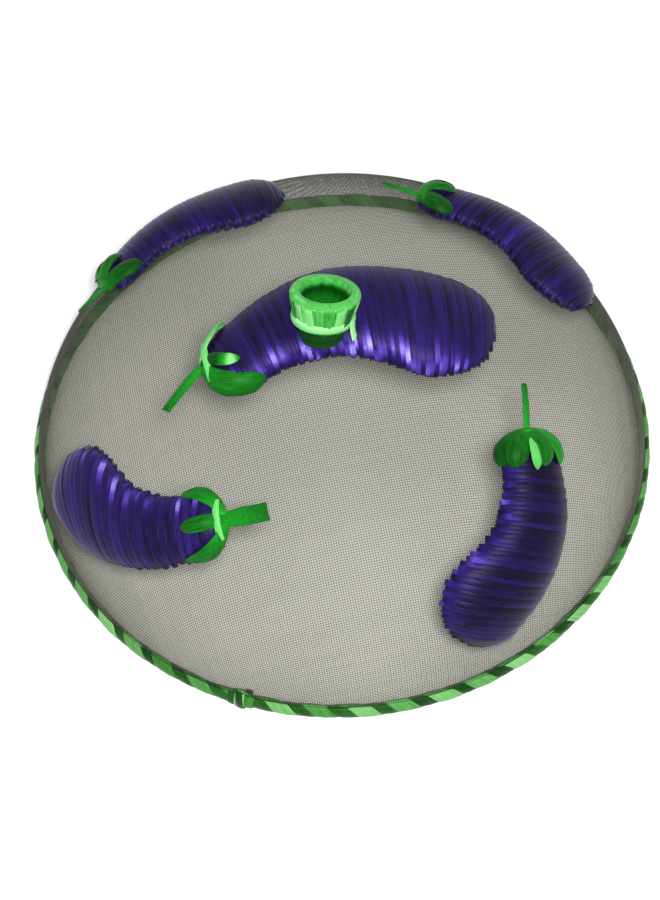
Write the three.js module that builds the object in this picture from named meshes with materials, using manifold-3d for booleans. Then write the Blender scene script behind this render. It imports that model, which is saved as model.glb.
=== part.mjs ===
import * as THREE from 'three';
import { mergeVertices } from 'three/addons/utils/BufferGeometryUtils.js';
import Module from 'manifold-3d';

// Food cover: a dome of woven wire mesh on a ribbon-bound wire hoop, with five aubergines
// stitched on it in satin ribbon and a ribbon-wound ring on the crown to lift it by.
// Millimetres, +Z up. The origin is the centre of the rim, in the plane it stands on.
// Seen from the front, -Y is near and +X is to the right.

// Clearances between neighbouring pieces
const touchGap = 0.3;
const slotGap = 0.5;
const underMeshGap = 0.8;

// Mesh dome
const coverRadius = 175;
const domeHeight = 103;
const domeFullness = 2.13;
const meshThickness = 0.7;
const footSteps = 72;

// Openings of the mesh, drawn far coarser than the real weave: the cells of a net of wires
// that keep one distance along each wire as they drape over the dome
const openingPitchShare = 0.206;
const openingShare = 0.78;
const openingsAcross = 12;
const openingFoot = 10;
const openingLeastShare = 0.04;
const openingSideSteps = 2;
const weaveTurn = 9;
const drapeSteps = 40;
const angleSlack = 1e-9;

// Bound rim: a wire hoop in a sleeve of wrapped ribbon, cut flat where the cover stands
const hoopWireRadius = 1.5;
const hoopSides = 5;
const bindingRadius = 3;
const bindingBoreRadius = 2.1;
const bindingRidge = 0.35;
const bindingWraps = 50;
const bindingSlantShare = 0.5;
const standingFlatDepth = 0.5;
const standingFlatHalfAngle = 18;
const bindingSideSteps = 2;
const bindingBoreSteps = 6;

// Knot where the rim's ribbon ends
const knotLength = 11;
const knotWidth = 5;
const knotAzimuth = -110.5;
const knotTilt = 60;
const knotSegments = 10;
const knotRows = 6;

// Satin ribbon and padding of the aubergines
const strandThickness = 1.1;
const strandRidge = 0.45;
const sectionSteps = 5;
const paddingLift = 0.7;
const paddingGap = 0.6;
const paddingRings = 9;
const paddingSteps = 5;
const bulbRoundShare = 0.2;
const bulbFadeStartShare = 0.15;
const bulbFadeEndShare = 0.6;
const neckRoundShare = 0.13;
const neckFadeStartShare = 0.5;
const neckFadeEndShare = 0.9;
const windingStartShare = 0.015;
const windingEndShare = 0.925;
const paddingStartShare = 0.03;
const paddingEndShare = 0.91;
const backStartShare = 0.04;
const backEndShare = 0.92;
const backWidthShare = 0.86;
const backStitchThickness = 0.8;
const backRings = 9;
const backSteps = 3;

// Calyx of three pointed leaves over the neck
const calyxThickness = 1.2;
const calyxGap = 0.95;
const calyxLeaves = 3;
const calyxNotchShare = 0.5;
const calyxTurnSteps = 18;
const calyxRows = 5;
const calyxRowPower = 2;

// Twisted ribbon stems
const stemSections = 6;
const stemCorners = 6;
const stemTwist = 50;
const stemTipShare = 0.8;
const stemLength = 20;
const stemWidth = 5;
const stemThickness = 2.6;
const stemRise = 4;
const stemRootHeight = 3.2;

// The smaller aubergines around the side. The axis runs from the bulb's end to the calyx, as
// shares of its length along and across the line between them
const sideSize = {
  length: 118,
  alongShares: [-0.5, -0.27, -0.06, 0.16, 0.31, 0.51],
  acrossShares: [0.034, -0.028, -0.086, -0.083, -0.04, 0.034],
  bulbWidth: 49,
  middleWidth: 40,
  neckWidth: 32,
  bulbHeight: 10.5,
  neckHeight: 9,
  strands: 16,
  calyxLength: 22.5,
};

// The larger one over the crown
const crownSize = {
  length: 164,
  alongShares: [-0.505, -0.36, -0.19, 0.015, 0.19, 0.377, 0.5],
  acrossShares: [-0.03, -0.108, -0.167, -0.192, -0.141, -0.037, -0.008],
  bulbWidth: 64,
  middleWidth: 55,
  neckWidth: 40,
  bulbHeight: 13,
  neckHeight: 10,
  strands: 22,
  calyxLength: 29,
};

// Where each one lies: its middle by azimuth and share of the mesh radius, and its heading,
// in degrees towards the crown from the direction round the dome
const sideAubergines = [
  {
    name: 'front_left',
    azimuth: -146,
    radiusShare: 0.795,
    heading: 28.5,
    stemLengthShare: 1.1,
    stemWidthShare: 1.3,
    stemTurn: -4,
  },
  {
    name: 'front_right',
    azimuth: -54,
    radiusShare: 0.805,
    heading: 35,
    stemLengthShare: 1.15,
    stemWidthShare: 0.8,
    stemTurn: -10,
  },
  {
    name: 'back_right',
    azimuth: 37,
    radiusShare: 0.735,
    heading: 14,
    stemLengthShare: 1,
    stemWidthShare: 1,
    stemTurn: 0,
  },
  {
    name: 'back_left',
    azimuth: 129.5,
    radiusShare: 0.735,
    heading: -18,
    stemLengthShare: 1,
    stemWidthShare: 1,
    stemTurn: 0,
  },
];
const crownAubergine = {
  name: 'crown',
  azimuth: -74,
  radiusShare: 0.112,
  heading: 163.7,
  stemLengthShare: 1.55,
  stemWidthShare: 1,
  stemTurn: 37,
};

// Ring grip on the crown: an oval ring wound with ribbon, its collar and its seat
const gripXShare = -0.033;
const gripYShare = -0.03;
const gripSeatLift = 18.6;
const gripLeanBack = 15;
const gripLeanRight = 7;
const gripTopRadius = 15.6;
const gripBottomRadius = 12.4;
const gripOvalShare = 0.82;
const gripHeight = 15;
const gripWall = 2.4;
const gripSegments = 24;
const gripLipSteps = 3;
const gripLoops = 17;
const gripTurnSteps = 4;
const gripSideSteps = 2;
const gripRibbonThickness = 0.7;
const gripRibbonShare = 0.78;
const gripCoreGap = 0.45;
const collarHeight = 4;
const collarThickness = 1.3;
const seatTopRadius = 12.6;
const seatFootRadius = 10.4;
const seatDepth = 12;
const seatGap = 0.6;
const seatRoomRings = 18;
const seatRoomSteps = 10;
const tailLength = 12;
const tailWidth = 4.5;
const tailThickness = 0.9;
const tailGap = 0.6;
const tailAzimuth = -32;
const tailFlareShare = 0.33;
const tailDropShare = 0.5;
const tailSections = 4;

// Values that follow from the sizes above
const hoopRadius = coverRadius - bindingRadius;
const hoopHeight = bindingRadius - standingFlatDepth;
const meshRadius = hoopRadius + meshThickness / 2;
const openingPitch = coverRadius * openingPitchShare;
const wrapPitch = 2 * Math.PI / bindingWraps;

// Colours read from the photograph
const wireGrey = 0xaaa89e;
const hoopSteel = 0x8d8d88;
const rimGreen = 0x468c3c;
const leafGreen = 0x2f9a34;
const paleGreen = 0x6fd070;
const deepGreen = 0x22601f;
const satinPurple = 0x3f2a7a;
const backPurple = 0x4a3590;
const feltPurple = 0x2a2148;
const corePlastic = 0xc9c9c2;

const wasm = await Module();
wasm.setup();

const cover = new THREE.Group();
const degrees = THREE.MathUtils.degToRad;

function finish(colour, roughness, metalness) {
  return new THREE.MeshStandardMaterial({ color: colour, roughness, metalness });
}

function addPiece(name, geometry, material, place) {
  const mesh = new THREE.Mesh(geometry, material);
  mesh.name = name;
  (place ?? cover).add(mesh);
  return mesh;
}

// Signed volume, negative where the faces point inwards
function signedVolume(points, faces) {
  const across = new THREE.Vector3();
  let volume = 0;
  for (const [a, b, c] of faces) {
    across.crossVectors(points[b], points[c]);
    volume += points[a].dot(across);
  }
  return volume;
}

// One closed body from its corner points and triangles, with the faces turned outwards
function closedBody(points, faces) {
  const inward = signedVolume(points, faces) < 0;
  const index = faces.flatMap(([a, b, c]) => (inward ? [a, c, b] : [a, b, c]));
  const geometry = new THREE.BufferGeometry().setFromPoints(points);
  geometry.setIndex(index);
  return geometry;
}

function ringFaces(rings, size, closed) {
  const faces = [];
  const last = closed ? rings : rings - 1;
  for (let ring = 0; ring < last; ring += 1) {
    const here = ring * size;
    const next = ((ring + 1) % rings) * size;
    for (let step = 0; step < size; step += 1) {
      const along = (step + 1) % size;
      faces.push([here + step, here + along, next + along]);
      faces.push([here + step, next + along, next + step]);
    }
  }
  return faces;
}

// Rings joined into a tube that closes on itself
function hoopBody(rings) {
  return closedBody(rings.flat(), ringFaces(rings.length, rings[0].length, true));
}

// Rings joined into a rod, with a fan of triangles over each end
function rodBody(rings) {
  const size = rings[0].length;
  const faces = ringFaces(rings.length, size, false);
  const far = (rings.length - 1) * size;
  for (let step = 1; step < size - 1; step += 1) {
    faces.push([0, step + 1, step]);
    faces.push([far, far + step, far + step + 1]);
  }
  return closedBody(rings.flat(), faces);
}

// Rings that hold an outer arch and the inner arch back again, with both ends closed
function archBody(rings) {
  const size = rings[0].length;
  const faces = ringFaces(rings.length, size, false);
  const far = (rings.length - 1) * size;
  for (let step = 0; step < size / 2 - 1; step += 1) {
    const inner = size - 1 - step;
    faces.push([step, inner, inner - 1]);
    faces.push([step, inner - 1, step + 1]);
    faces.push([far + step, far + inner - 1, far + inner]);
    faces.push([far + step, far + step + 1, far + inner - 1]);
  }
  return closedBody(rings.flat(), faces);
}

// Mesh dome

// A point of the profile, from the crown at 0 to the rim at a quarter turn
function domeProfile(turn, inset) {
  const power = 2 / domeFullness;
  const across = (meshRadius - inset) * Math.sin(turn) ** power;
  const up = (domeHeight - inset) * Math.abs(Math.cos(turn)) ** power;
  return new THREE.Vector2(across, up);
}

// Straight out from the origin through a point, to a height above the mesh
function overDome(point, height) {
  const across = Math.hypot(point.x, point.y) / meshRadius;
  const up = Math.max(point.z, 0) / domeHeight;
  const size = (across ** domeFullness + up ** domeFullness) ** (1 / domeFullness);
  const foot = point.clone().divideScalar(size);
  return foot.addScaledVector(domeNormal(foot), height);
}

function domeNormal(foot) {
  const radius = Math.hypot(foot.x, foot.y);
  const outward = (radius / meshRadius) ** (domeFullness - 1) / meshRadius;
  const upward = (Math.max(foot.z, 0) / domeHeight) ** (domeFullness - 1) / domeHeight;
  const share = radius > 0 ? outward / radius : 0;
  return new THREE.Vector3(foot.x * share, foot.y * share, upward).normalize();
}

// The point of the mesh above a place in plan
function domeAt(x, y) {
  const across = Math.hypot(x, y) / meshRadius;
  const up = (1 - across ** domeFullness) ** (1 / domeFullness);
  return new THREE.Vector3(x, y, up * domeHeight);
}

// The mesh laid flat: a place by its turn along the profile and its azimuth
function laidFlat(point) {
  const across = (Math.hypot(point.x, point.y) / meshRadius) ** (domeFullness / 2);
  const up = Math.sign(point.z) * (Math.abs(point.z) / domeHeight) ** (domeFullness / 2);
  return new THREE.Vector2(point.x, point.y).setLength(Math.atan2(across, up));
}

// The place of the dome that a flat one stands for, at a depth below the outer face
function raised(flat, inset) {
  const azimuth = flat.angle();
  const profile = domeProfile(flat.length(), inset);
  return new THREE.Vector3(profile.x * Math.cos(azimuth), profile.x * Math.sin(azimuth), profile.y);
}

// A level line round the dome, laid flat
function levelLine(height) {
  const turn = Math.acos((height / domeHeight) ** (domeFullness / 2));
  const line = [];
  for (let step = 0; step < footSteps; step += 1) {
    const azimuth = 2 * Math.PI * step / footSteps;
    line.push(new THREE.Vector2(turn * Math.cos(azimuth), turn * Math.sin(azimuth)));
  }
  return line;
}

function makeDome() {
  const foot = levelLine(hoopHeight + hoopWireRadius + slotGap);
  const openings = meshOpenings(levelLine(openingFoot));
  const places = [foot, ...openings].flat();
  const triangles = THREE.ShapeUtils.triangulateShape(foot, openings);
  const top = evenTriangles(places, triangles.map((face) => upwards(places, face)));
  const sides = sidesOf(top);
  const faces = [...top];
  for (const [a, b, c] of top) {
    faces.push([c + places.length, b + places.length, a + places.length]);
  }
  for (const [a, b] of sides.values()) {
    if (!sides.has(sideKey(b, a))) {
      faces.push([b, a, a + places.length]);
      faces.push([b, a + places.length, b + places.length]);
    }
  }
  const outer = places.map((place) => raised(place, 0));
  const inner = places.map((place) => raised(place, meshThickness));
  const dome = closedBody([...outer, ...inner], faces);
  addPiece('mesh_dome', dome, finish(wireGrey, 0.45, 0.6));
}

// A flat triangle with its corners in the order that faces up
function upwards(places, [a, b, c]) {
  const turn = places[b].clone().sub(places[a]).cross(places[c].clone().sub(places[a]));
  return turn > 0 ? [a, b, c] : [a, c, b];
}

function sideKey(from, to) {
  return `${from} ${to}`;
}

// The sides of every triangle, each with its two ends, its far corner and its triangle
function sidesOf(faces) {
  const sides = new Map();
  faces.forEach(([a, b, c], face) => {
    sides.set(sideKey(a, b), [a, b, c, face]);
    sides.set(sideKey(b, c), [b, c, a, face]);
    sides.set(sideKey(c, a), [c, a, b, face]);
  });
  return sides;
}

// The two angles that face the side from a to b, together
function facingAngles(places, a, b, c, d) {
  let sum = 0;
  for (const corner of [c, d]) {
    const one = places[a].clone().sub(places[corner]);
    const two = places[b].clone().sub(places[corner]);
    sum += Math.abs(Math.atan2(one.cross(two), one.dot(two)));
  }
  return sum;
}

// Turns the side that two triangles share, wherever that leaves neither of them slender
function evenTriangles(places, faces) {
  const even = [...faces];
  const turned = new Set();
  do {
    turned.clear();
    const sides = sidesOf(even);
    for (const [a, b, c, face] of sides.values()) {
      const [, , d, other] = sides.get(sideKey(b, a)) ?? [];
      const ready = other !== undefined && !turned.has(face) && !turned.has(other);
      if (ready && facingAngles(places, a, b, c, d) > Math.PI + angleSlack) {
        even[face] = [a, d, c];
        even[other] = [d, b, c];
        turned.add(face).add(other);
      }
    }
  } while (turned.size > 0);
  return even;
}

// The crossing of two wires, one pitch on from two others along both wires
function nextCrossing(beside, behind, before) {
  const crossing = beside.clone().add(behind).sub(before);
  for (let step = 0; step < drapeSteps; step += 1) {
    for (const anchor of [beside, behind]) {
      const away = crossing.clone().sub(anchor).setLength(openingPitch);
      crossing.copy(anchor).add(away);
    }
    crossing.copy(overDome(crossing, 0));
  }
  return crossing;
}

// One quarter of the net, from the crown down to the rim and past it
function netQuarter() {
  const count = openingsAcross / 2;
  const net = [];
  for (let row = 0; row <= count; row += 1) {
    net.push([]);
    for (let column = 0; column <= count; column += 1) {
      net[row].push(netCrossing(net, row, column));
    }
  }
  return net;
}

function netCrossing(net, row, column) {
  if (row === 0 && column === 0) {
    return domeAt(0, 0);
  }
  if (row > 0 && column > 0) {
    return nextCrossing(net[row - 1][column], net[row][column - 1], net[row - 1][column - 1]);
  }
  const last = row > 0 ? net[row - 1][0] : net[0][column - 1];
  const ahead = row > 0 ? new THREE.Vector3(1, 0, 0) : new THREE.Vector3(0, 1, 0);
  return stepDown(last, ahead);
}

// One pitch on down the dome from a place on one of the net's two straight wires
function stepDown(last, ahead) {
  const sideways = new THREE.Vector3().crossVectors(domeNormal(last), ahead);
  const downhill = new THREE.Vector3().crossVectors(sideways, domeNormal(last)).normalize();
  const place = last.clone().addScaledVector(downhill, openingPitch);
  for (let step = 0; step < drapeSteps; step += 1) {
    place.copy(overDome(place, 0));
    place.sub(last).setLength(openingPitch).add(last);
  }
  return overDome(place, 0);
}

// The outline of every opening that lies above a level line, laid flat
function meshOpenings(lowest) {
  const net = netQuarter();
  const turn = degrees(weaveTurn);
  const up = new THREE.Vector3(0, 0, 1);
  const crossing = (row, column) => {
    const place = net[Math.abs(row)][Math.abs(column)].clone();
    place.set(row < 0 ? -place.x : place.x, column < 0 ? -place.y : place.y, place.z);
    return place.applyAxisAngle(up, turn);
  };
  const half = openingsAcross / 2;
  const outlines = [];
  for (let row = -half; row < half; row += 1) {
    for (let column = -half; column < half; column += 1) {
      const cell = [[0, 0], [1, 0], [1, 1], [0, 1]].map(([a, b]) => crossing(row + a, column + b));
      const whole = openingOutline(cell);
      const kept = keptInside(whole, lowest);
      if (flatArea(kept) > openingLeastShare * flatArea(whole)) {
        outlines.push(kept);
      }
    }
  }
  return outlines;
}

// The outline of one opening, smaller than its cell of the net by the width of the wires
function openingOutline(cell) {
  const centre = new THREE.Vector3();
  cell.forEach((corner) => centre.addScaledVector(corner, 1 / cell.length));
  const corners = cell.map((corner) => centre.clone().lerp(corner, openingShare));
  const outline = [];
  corners.forEach((corner, place) => {
    const next = corners[(place + 1) % corners.length];
    for (let step = 0; step < openingSideSteps; step += 1) {
      outline.push(laidFlat(corner.clone().lerp(next, step / openingSideSteps)));
    }
  });
  return outline;
}

// What an outline keeps inside a level line: its part to the left of each of the line's steps
function keptInside(outline, line) {
  let kept = outline;
  line.forEach((from, step) => {
    const along = line[(step + 1) % line.length].clone().sub(from);
    const offsets = kept.map((place) => along.cross(place.clone().sub(from)));
    const cut = [];
    kept.forEach((place, index) => {
      const next = (index + 1) % kept.length;
      if (offsets[index] >= 0) {
        cut.push(place);
      }
      if (offsets[index] * offsets[next] < 0) {
        const share = offsets[index] / (offsets[index] - offsets[next]);
        cut.push(place.clone().lerp(kept[next], share));
      }
    });
    kept = cut;
  });
  return kept;
}

function flatArea(outline) {
  return outline.length < 3 ? 0 : Math.abs(THREE.ShapeUtils.area(outline));
}

// Bound rim

function rimPoint(azimuth, radius, turn) {
  const across = hoopRadius + radius * Math.sin(turn);
  const up = Math.max(hoopHeight + radius * Math.cos(turn), 0);
  return new THREE.Vector3(across * Math.cos(azimuth), across * Math.sin(azimuth), up);
}

function makeHoop() {
  const rings = [];
  for (let ring = 0; ring < 2 * bindingWraps; ring += 1) {
    const azimuth = ring * wrapPitch / 2;
    const section = [];
    for (let side = 0; side < hoopSides; side += 1) {
      const turn = 2 * Math.PI * side / hoopSides;
      section.push(rimPoint(azimuth, hoopWireRadius, turn));
    }
    rings.push(section);
  }
  addPiece('rim_hoop', hoopBody(rings), finish(hoopSteel, 0.4, 0.9));
}

// Turns round the ribbon sleeve, from one lip of the slot that takes the mesh to the other
function bindingTurns() {
  const valley = bindingRadius - bindingRidge;
  const halfSlot = meshThickness / 2 + slotGap;
  const outerLip = Math.asin(halfSlot / valley);
  const boreLip = Math.asin(halfSlot / bindingBoreRadius);
  const flatEdge = Math.PI - degrees(standingFlatHalfAngle);
  const outer = [];
  for (let step = 0; step <= bindingSideSteps; step += 1) {
    outer.push(THREE.MathUtils.lerp(outerLip, flatEdge, step / bindingSideSteps));
  }
  const farSide = outer.map((turn) => 2 * Math.PI - turn).reverse();
  const bore = [];
  for (let step = 0; step <= bindingBoreSteps; step += 1) {
    bore.push(THREE.MathUtils.lerp(2 * Math.PI - boreLip, boreLip, step / bindingBoreSteps));
  }
  return { outer: [...outer, ...farSide], bore };
}

function makeBinding() {
  const turns = bindingTurns();
  const rings = [];
  for (let ring = 0; ring < 2 * bindingWraps; ring += 1) {
    const azimuth = ring * wrapPitch / 2;
    const ridge = ring % 2 === 0 ? 0 : bindingRidge;
    const outer = turns.outer.map((turn) => {
      const slant = bindingSlantShare * wrapPitch * (turn / Math.PI - 1);
      return rimPoint(azimuth + slant, bindingRadius - ridge, turn);
    });
    const bore = turns.bore.map((turn) => rimPoint(azimuth, bindingBoreRadius, turn));
    rings.push([...outer, ...bore]);
  }
  addPiece('rim_binding', hoopBody(rings), finish(rimGreen, 0.35, 0));
}

function makeRimKnot() {
  const knot = new THREE.SphereGeometry(knotWidth / 2, knotSegments, knotRows);
  knot.scale(1, knotLength / knotWidth, 1);
  const reach = bindingRadius + touchGap + knotWidth / 2;
  const tilt = degrees(knotTilt);
  const mesh = addPiece('rim_knot', knot, finish(leafGreen, 0.35, 0));
  const across = hoopRadius + reach * Math.cos(tilt);
  const azimuth = degrees(knotAzimuth);
  const up = hoopHeight + reach * Math.sin(tilt);
  mesh.position.set(across * Math.cos(azimuth), across * Math.sin(azimuth), up);
  mesh.rotation.z = azimuth;
}

// Aubergines

// The curved line on the mesh that the body follows
function aubergineAxis({ azimuth, radiusShare, heading }, size) {
  const angle = degrees(azimuth);
  const radius = meshRadius * radiusShare;
  const middle = domeAt(radius * Math.cos(angle), radius * Math.sin(angle));
  const normal = domeNormal(middle);
  const forward = new THREE.Vector3(-Math.sin(angle), Math.cos(angle), 0);
  forward.applyAxisAngle(normal, degrees(heading));
  const across = new THREE.Vector3().crossVectors(normal, forward);
  const places = size.alongShares.map((share, place) => {
    const point = middle.clone().addScaledVector(forward, share * size.length);
    point.addScaledVector(across, size.acrossShares[place] * size.length);
    return overDome(point, 0);
  });
  return new THREE.CatmullRomCurve3(places);
}

// Grows from 0 at a tip to 1 where the rounded end is over
function roundedEnd(share, roundShare) {
  const inward = Math.min(share / roundShare, 1);
  return Math.sqrt(1 - (1 - inward) ** 2);
}

function bodyShares(along) {
  const clamped = THREE.MathUtils.clamp(along, 0, 1);
  const { smoothstep } = THREE.MathUtils;
  const bulb = 1 - smoothstep(clamped, bulbFadeStartShare, bulbFadeEndShare);
  const middle = 1 - smoothstep(clamped, neckFadeStartShare, neckFadeEndShare);
  const ends = roundedEnd(clamped, bulbRoundShare) * roundedEnd(1 - clamped, neckRoundShare);
  return { bulb, middle, ends };
}

function halfWidth(size, along) {
  const { bulb, middle, ends } = bodyShares(along);
  const swell = middle * (size.middleWidth - size.neckWidth);
  const bulge = bulb * (size.bulbWidth - size.middleWidth);
  return ends * (size.neckWidth + swell + bulge) / 2;
}

function crest(size, along) {
  const { middle, ends } = bodyShares(along);
  return ends * (size.neckHeight + middle * (size.bulbHeight - size.neckHeight));
}

// The cross direction and place of the axis at a share of its length
function axisFrame(axis, along) {
  const clamped = THREE.MathUtils.clamp(along, 0, 1);
  const place = axis.getPointAt(clamped);
  const forward = axis.getTangentAt(clamped);
  const across = new THREE.Vector3().crossVectors(domeNormal(place), forward).normalize();
  return { place, forward, across };
}

// A point of the padded body: turn 0 and a half turn are its two edges on the mesh
function bodyPoint(body, along, turn, grown) {
  const { place, across } = axisFrame(body.axis, along);
  const reach = Math.max(halfWidth(body.size, along) + grown, 0);
  const rise = Math.max(crest(body.size, along) + grown, 0);
  const edge = place.addScaledVector(across, reach * Math.cos(turn));
  return overDome(edge, touchGap + rise * Math.sin(turn));
}

function archRing(body, along, outerGrown, innerGrown, steps) {
  const outer = [];
  const inner = [];
  for (let step = 0; step <= steps; step += 1) {
    const turn = Math.PI * step / steps;
    outer.push(bodyPoint(body, along, turn, outerGrown));
    inner.push(bodyPoint(body, along, turn, innerGrown));
  }
  return [...outer, ...inner.reverse()];
}

function makeWinding(body) {
  const rings = [];
  const count = 2 * body.size.strands;
  for (let ring = 0; ring <= count; ring += 1) {
    const along = THREE.MathUtils.lerp(windingStartShare, windingEndShare, ring / count);
    const ridge = ring % 2 === 0 ? strandRidge : 0;
    rings.push(archRing(body, along, -ridge, -strandThickness, sectionSteps));
  }
  addPiece(`${body.name}_aubergine_winding`, archBody(rings), finish(satinPurple, 0.3, 0));
}

// A closed section whose flat side follows the mesh at a height
function mattressRing(body, along, grown, steps) {
  const top = [];
  const bottom = [];
  const { place, across } = axisFrame(body.axis, along);
  const reach = halfWidth(body.size, along) + grown;
  for (let step = 0; step <= steps; step += 1) {
    top.push(bodyPoint(body, along, Math.PI * step / steps, grown));
  }
  for (let step = 1; step < steps; step += 1) {
    const sideways = THREE.MathUtils.lerp(-reach, reach, step / steps);
    bottom.push(overDome(place.clone().addScaledVector(across, sideways), paddingLift));
  }
  return [...top, ...bottom];
}

function makePadding(body) {
  const rings = [];
  for (let ring = 0; ring < paddingRings; ring += 1) {
    const share = ring / (paddingRings - 1);
    const along = THREE.MathUtils.lerp(paddingStartShare, paddingEndShare, share);
    rings.push(mattressRing(body, along, -strandThickness - paddingGap, paddingSteps));
  }
  addPiece(`${body.name}_aubergine_padding`, rodBody(rings), finish(feltPurple, 0.95, 0));
}

// The strands crossing back under the mesh, as one thin layer
function makeBackStitches(body) {
  const rings = [];
  const top = -meshThickness - underMeshGap;
  for (let ring = 0; ring < backRings; ring += 1) {
    const along = THREE.MathUtils.lerp(backStartShare, backEndShare, ring / (backRings - 1));
    const { place, across } = axisFrame(body.axis, along);
    const reach = backWidthShare * halfWidth(body.size, along);
    const upper = [];
    const lower = [];
    for (let step = 0; step <= backSteps; step += 1) {
      const sideways = THREE.MathUtils.lerp(reach, -reach, step / backSteps);
      const point = place.clone().addScaledVector(across, sideways);
      upper.push(overDome(point, top));
      lower.push(overDome(point, top - backStitchThickness));
    }
    rings.push([...upper, ...lower.reverse()]);
  }
  const name = `${body.name}_aubergine_back_stitches`;
  addPiece(name, archBody(rings), finish(backPurple, 0.35, 0));
}

// How far down the neck the calyx reaches at a turn: long at a leaf, short between two
function calyxReach(body, turn) {
  const leaf = 0.5 - 0.5 * Math.cos(2 * calyxLeaves * turn);
  const length = body.size.calyxLength / body.axis.getLength();
  return length * THREE.MathUtils.lerp(calyxNotchShare, 1, leaf);
}

function makeCalyx(body) {
  const rings = [];
  for (let row = 0; row <= calyxRows; row += 1) {
    const outer = [];
    const inner = [];
    for (let step = 0; step <= calyxTurnSteps; step += 1) {
      const turn = Math.PI * step / calyxTurnSteps;
      const along = 1 - calyxReach(body, turn) * (row / calyxRows) ** calyxRowPower;
      outer.push(bodyPoint(body, along, turn, calyxGap + calyxThickness));
      inner.push(bodyPoint(body, along, turn, calyxGap));
    }
    rings.push([...outer, ...inner.reverse()]);
  }
  addPiece(`${body.name}_aubergine_calyx`, archBody(rings), finish(leafGreen, 0.35, 0));
}

// A ribbon twisted on itself, standing off the mesh from the calyx to a free tip
function makeStem(body) {
  const { place, forward, across } = axisFrame(body.axis, 1);
  const turn = degrees(body.stemTurn);
  const away = forward.clone().applyAxisAngle(domeNormal(place), turn);
  const rings = [];
  for (let ring = 0; ring < stemSections; ring += 1) {
    const share = ring / (stemSections - 1);
    const centre = place.clone().addScaledVector(forward, touchGap);
    centre.addScaledVector(away, share * body.stemLengthShare * stemLength);
    const spin = degrees(stemTwist) * share;
    const taper = THREE.MathUtils.lerp(1, stemTipShare, share);
    const height = stemRootHeight + stemRise * share;
    rings.push(stemSection(body, centre, across, spin, taper, height));
  }
  addPiece(`${body.name}_aubergine_stem`, rodBody(rings), finish(leafGreen, 0.35, 0));
}

function stemSection(body, centre, across, spin, taper, height) {
  const corners = [];
  for (let corner = 0; corner < stemCorners; corner += 1) {
    const turn = 2 * Math.PI * corner / stemCorners;
    const wide = taper * body.stemWidthShare * stemWidth / 2 * Math.cos(turn);
    const thick = taper * stemThickness / 2 * Math.sin(turn);
    const sideways = wide * Math.cos(spin) - thick * Math.sin(spin);
    const lifted = wide * Math.sin(spin) + thick * Math.cos(spin);
    const foot = centre.clone().addScaledVector(across, sideways);
    corners.push(overDome(foot, height + lifted));
  }
  return corners;
}

function makeAubergine(body) {
  makePadding(body);
  makeWinding(body);
  makeBackStitches(body);
  makeCalyx(body);
  makeStem(body);
}

// Ring grip

// The middle of the ribbon's loop round the ring's wall, as a stadium: [radial, up]
function gripLoopStops() {
  const reach = gripWall / 2 + gripCoreGap + gripRibbonThickness / 2;
  const stops = [];
  for (let step = 0; step <= gripTurnSteps; step += 1) {
    const turn = -Math.PI * step / gripTurnSteps;
    stops.push([reach * Math.cos(turn), reach * Math.sin(turn), turn]);
  }
  for (let step = 1; step < gripSideSteps; step += 1) {
    stops.push([-reach, gripHeight * step / gripSideSteps, -Math.PI]);
  }
  for (let step = 0; step <= gripTurnSteps; step += 1) {
    const turn = -Math.PI - Math.PI * step / gripTurnSteps;
    stops.push([reach * Math.cos(turn), gripHeight + reach * Math.sin(turn), turn]);
  }
  for (let step = 1; step < gripSideSteps; step += 1) {
    stops.push([reach, gripHeight * (1 - step / gripSideSteps), -2 * Math.PI]);
  }
  return stops;
}

function gripWallRadius(up) {
  return THREE.MathUtils.lerp(gripBottomRadius, gripTopRadius, up / gripHeight);
}

function gripPoint(radius, azimuth, up) {
  const x = radius * Math.cos(azimuth);
  const y = radius * Math.sin(azimuth) * gripOvalShare;
  return new THREE.Vector3(x, y, up);
}

function makeGripRing(grip) {
  const profile = [];
  for (let step = 0; step <= gripLipSteps; step += 1) {
    const turn = -Math.PI * step / gripLipSteps;
    const across = gripBottomRadius + gripWall / 2 * Math.cos(turn);
    profile.push(new THREE.Vector2(across, gripWall / 2 * Math.sin(turn)));
  }
  for (let step = 0; step <= gripLipSteps; step += 1) {
    const turn = -Math.PI - Math.PI * step / gripLipSteps;
    const across = gripTopRadius + gripWall / 2 * Math.cos(turn);
    profile.push(new THREE.Vector2(across, gripHeight + gripWall / 2 * Math.sin(turn)));
  }
  profile.push(profile[0].clone());
  profile.reverse();
  const ring = new THREE.LatheGeometry(profile, gripSegments);
  ring.rotateX(Math.PI / 2);
  ring.scale(1, gripOvalShare, 1);
  addPiece('grip_ring', ring, finish(corePlastic, 0.5, 0), grip);
}

// One section of the flat ribbon, four corners round its middle
function ribbonSection(stop, azimuth, pitch) {
  const [out, up, turn] = stop;
  const radius = gripWallRadius(up) + out;
  const halfWide = gripRibbonShare * pitch / 2;
  const halfThick = gripRibbonThickness / 2;
  const corners = [[-1, 1], [1, 1], [1, -1], [-1, -1]];
  return corners.map(([side, face]) => {
    const outward = radius + face * halfThick * Math.cos(turn);
    const lifted = up + face * halfThick * Math.sin(turn);
    return gripPoint(outward, azimuth + side * halfWide, lifted);
  });
}

function makeGripWinding(grip) {
  const stops = gripLoopStops();
  const pitch = 2 * Math.PI / (gripLoops + 1);
  const rings = [];
  for (let loop = 0; loop < gripLoops; loop += 1) {
    for (let stop = 0; stop < stops.length; stop += 1) {
      const azimuth = pitch * (loop + stop / stops.length);
      rings.push(ribbonSection(stops[stop], azimuth, pitch));
    }
  }
  const gap = leastSelfGap(rings, stops.length);
  console.log(`grip_winding: least gap to itself ${gap.toFixed(2)} mm`);
  addPiece('grip_winding', rodBody(rings), finish(leafGreen, 0.3, 0), grip);
}

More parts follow.
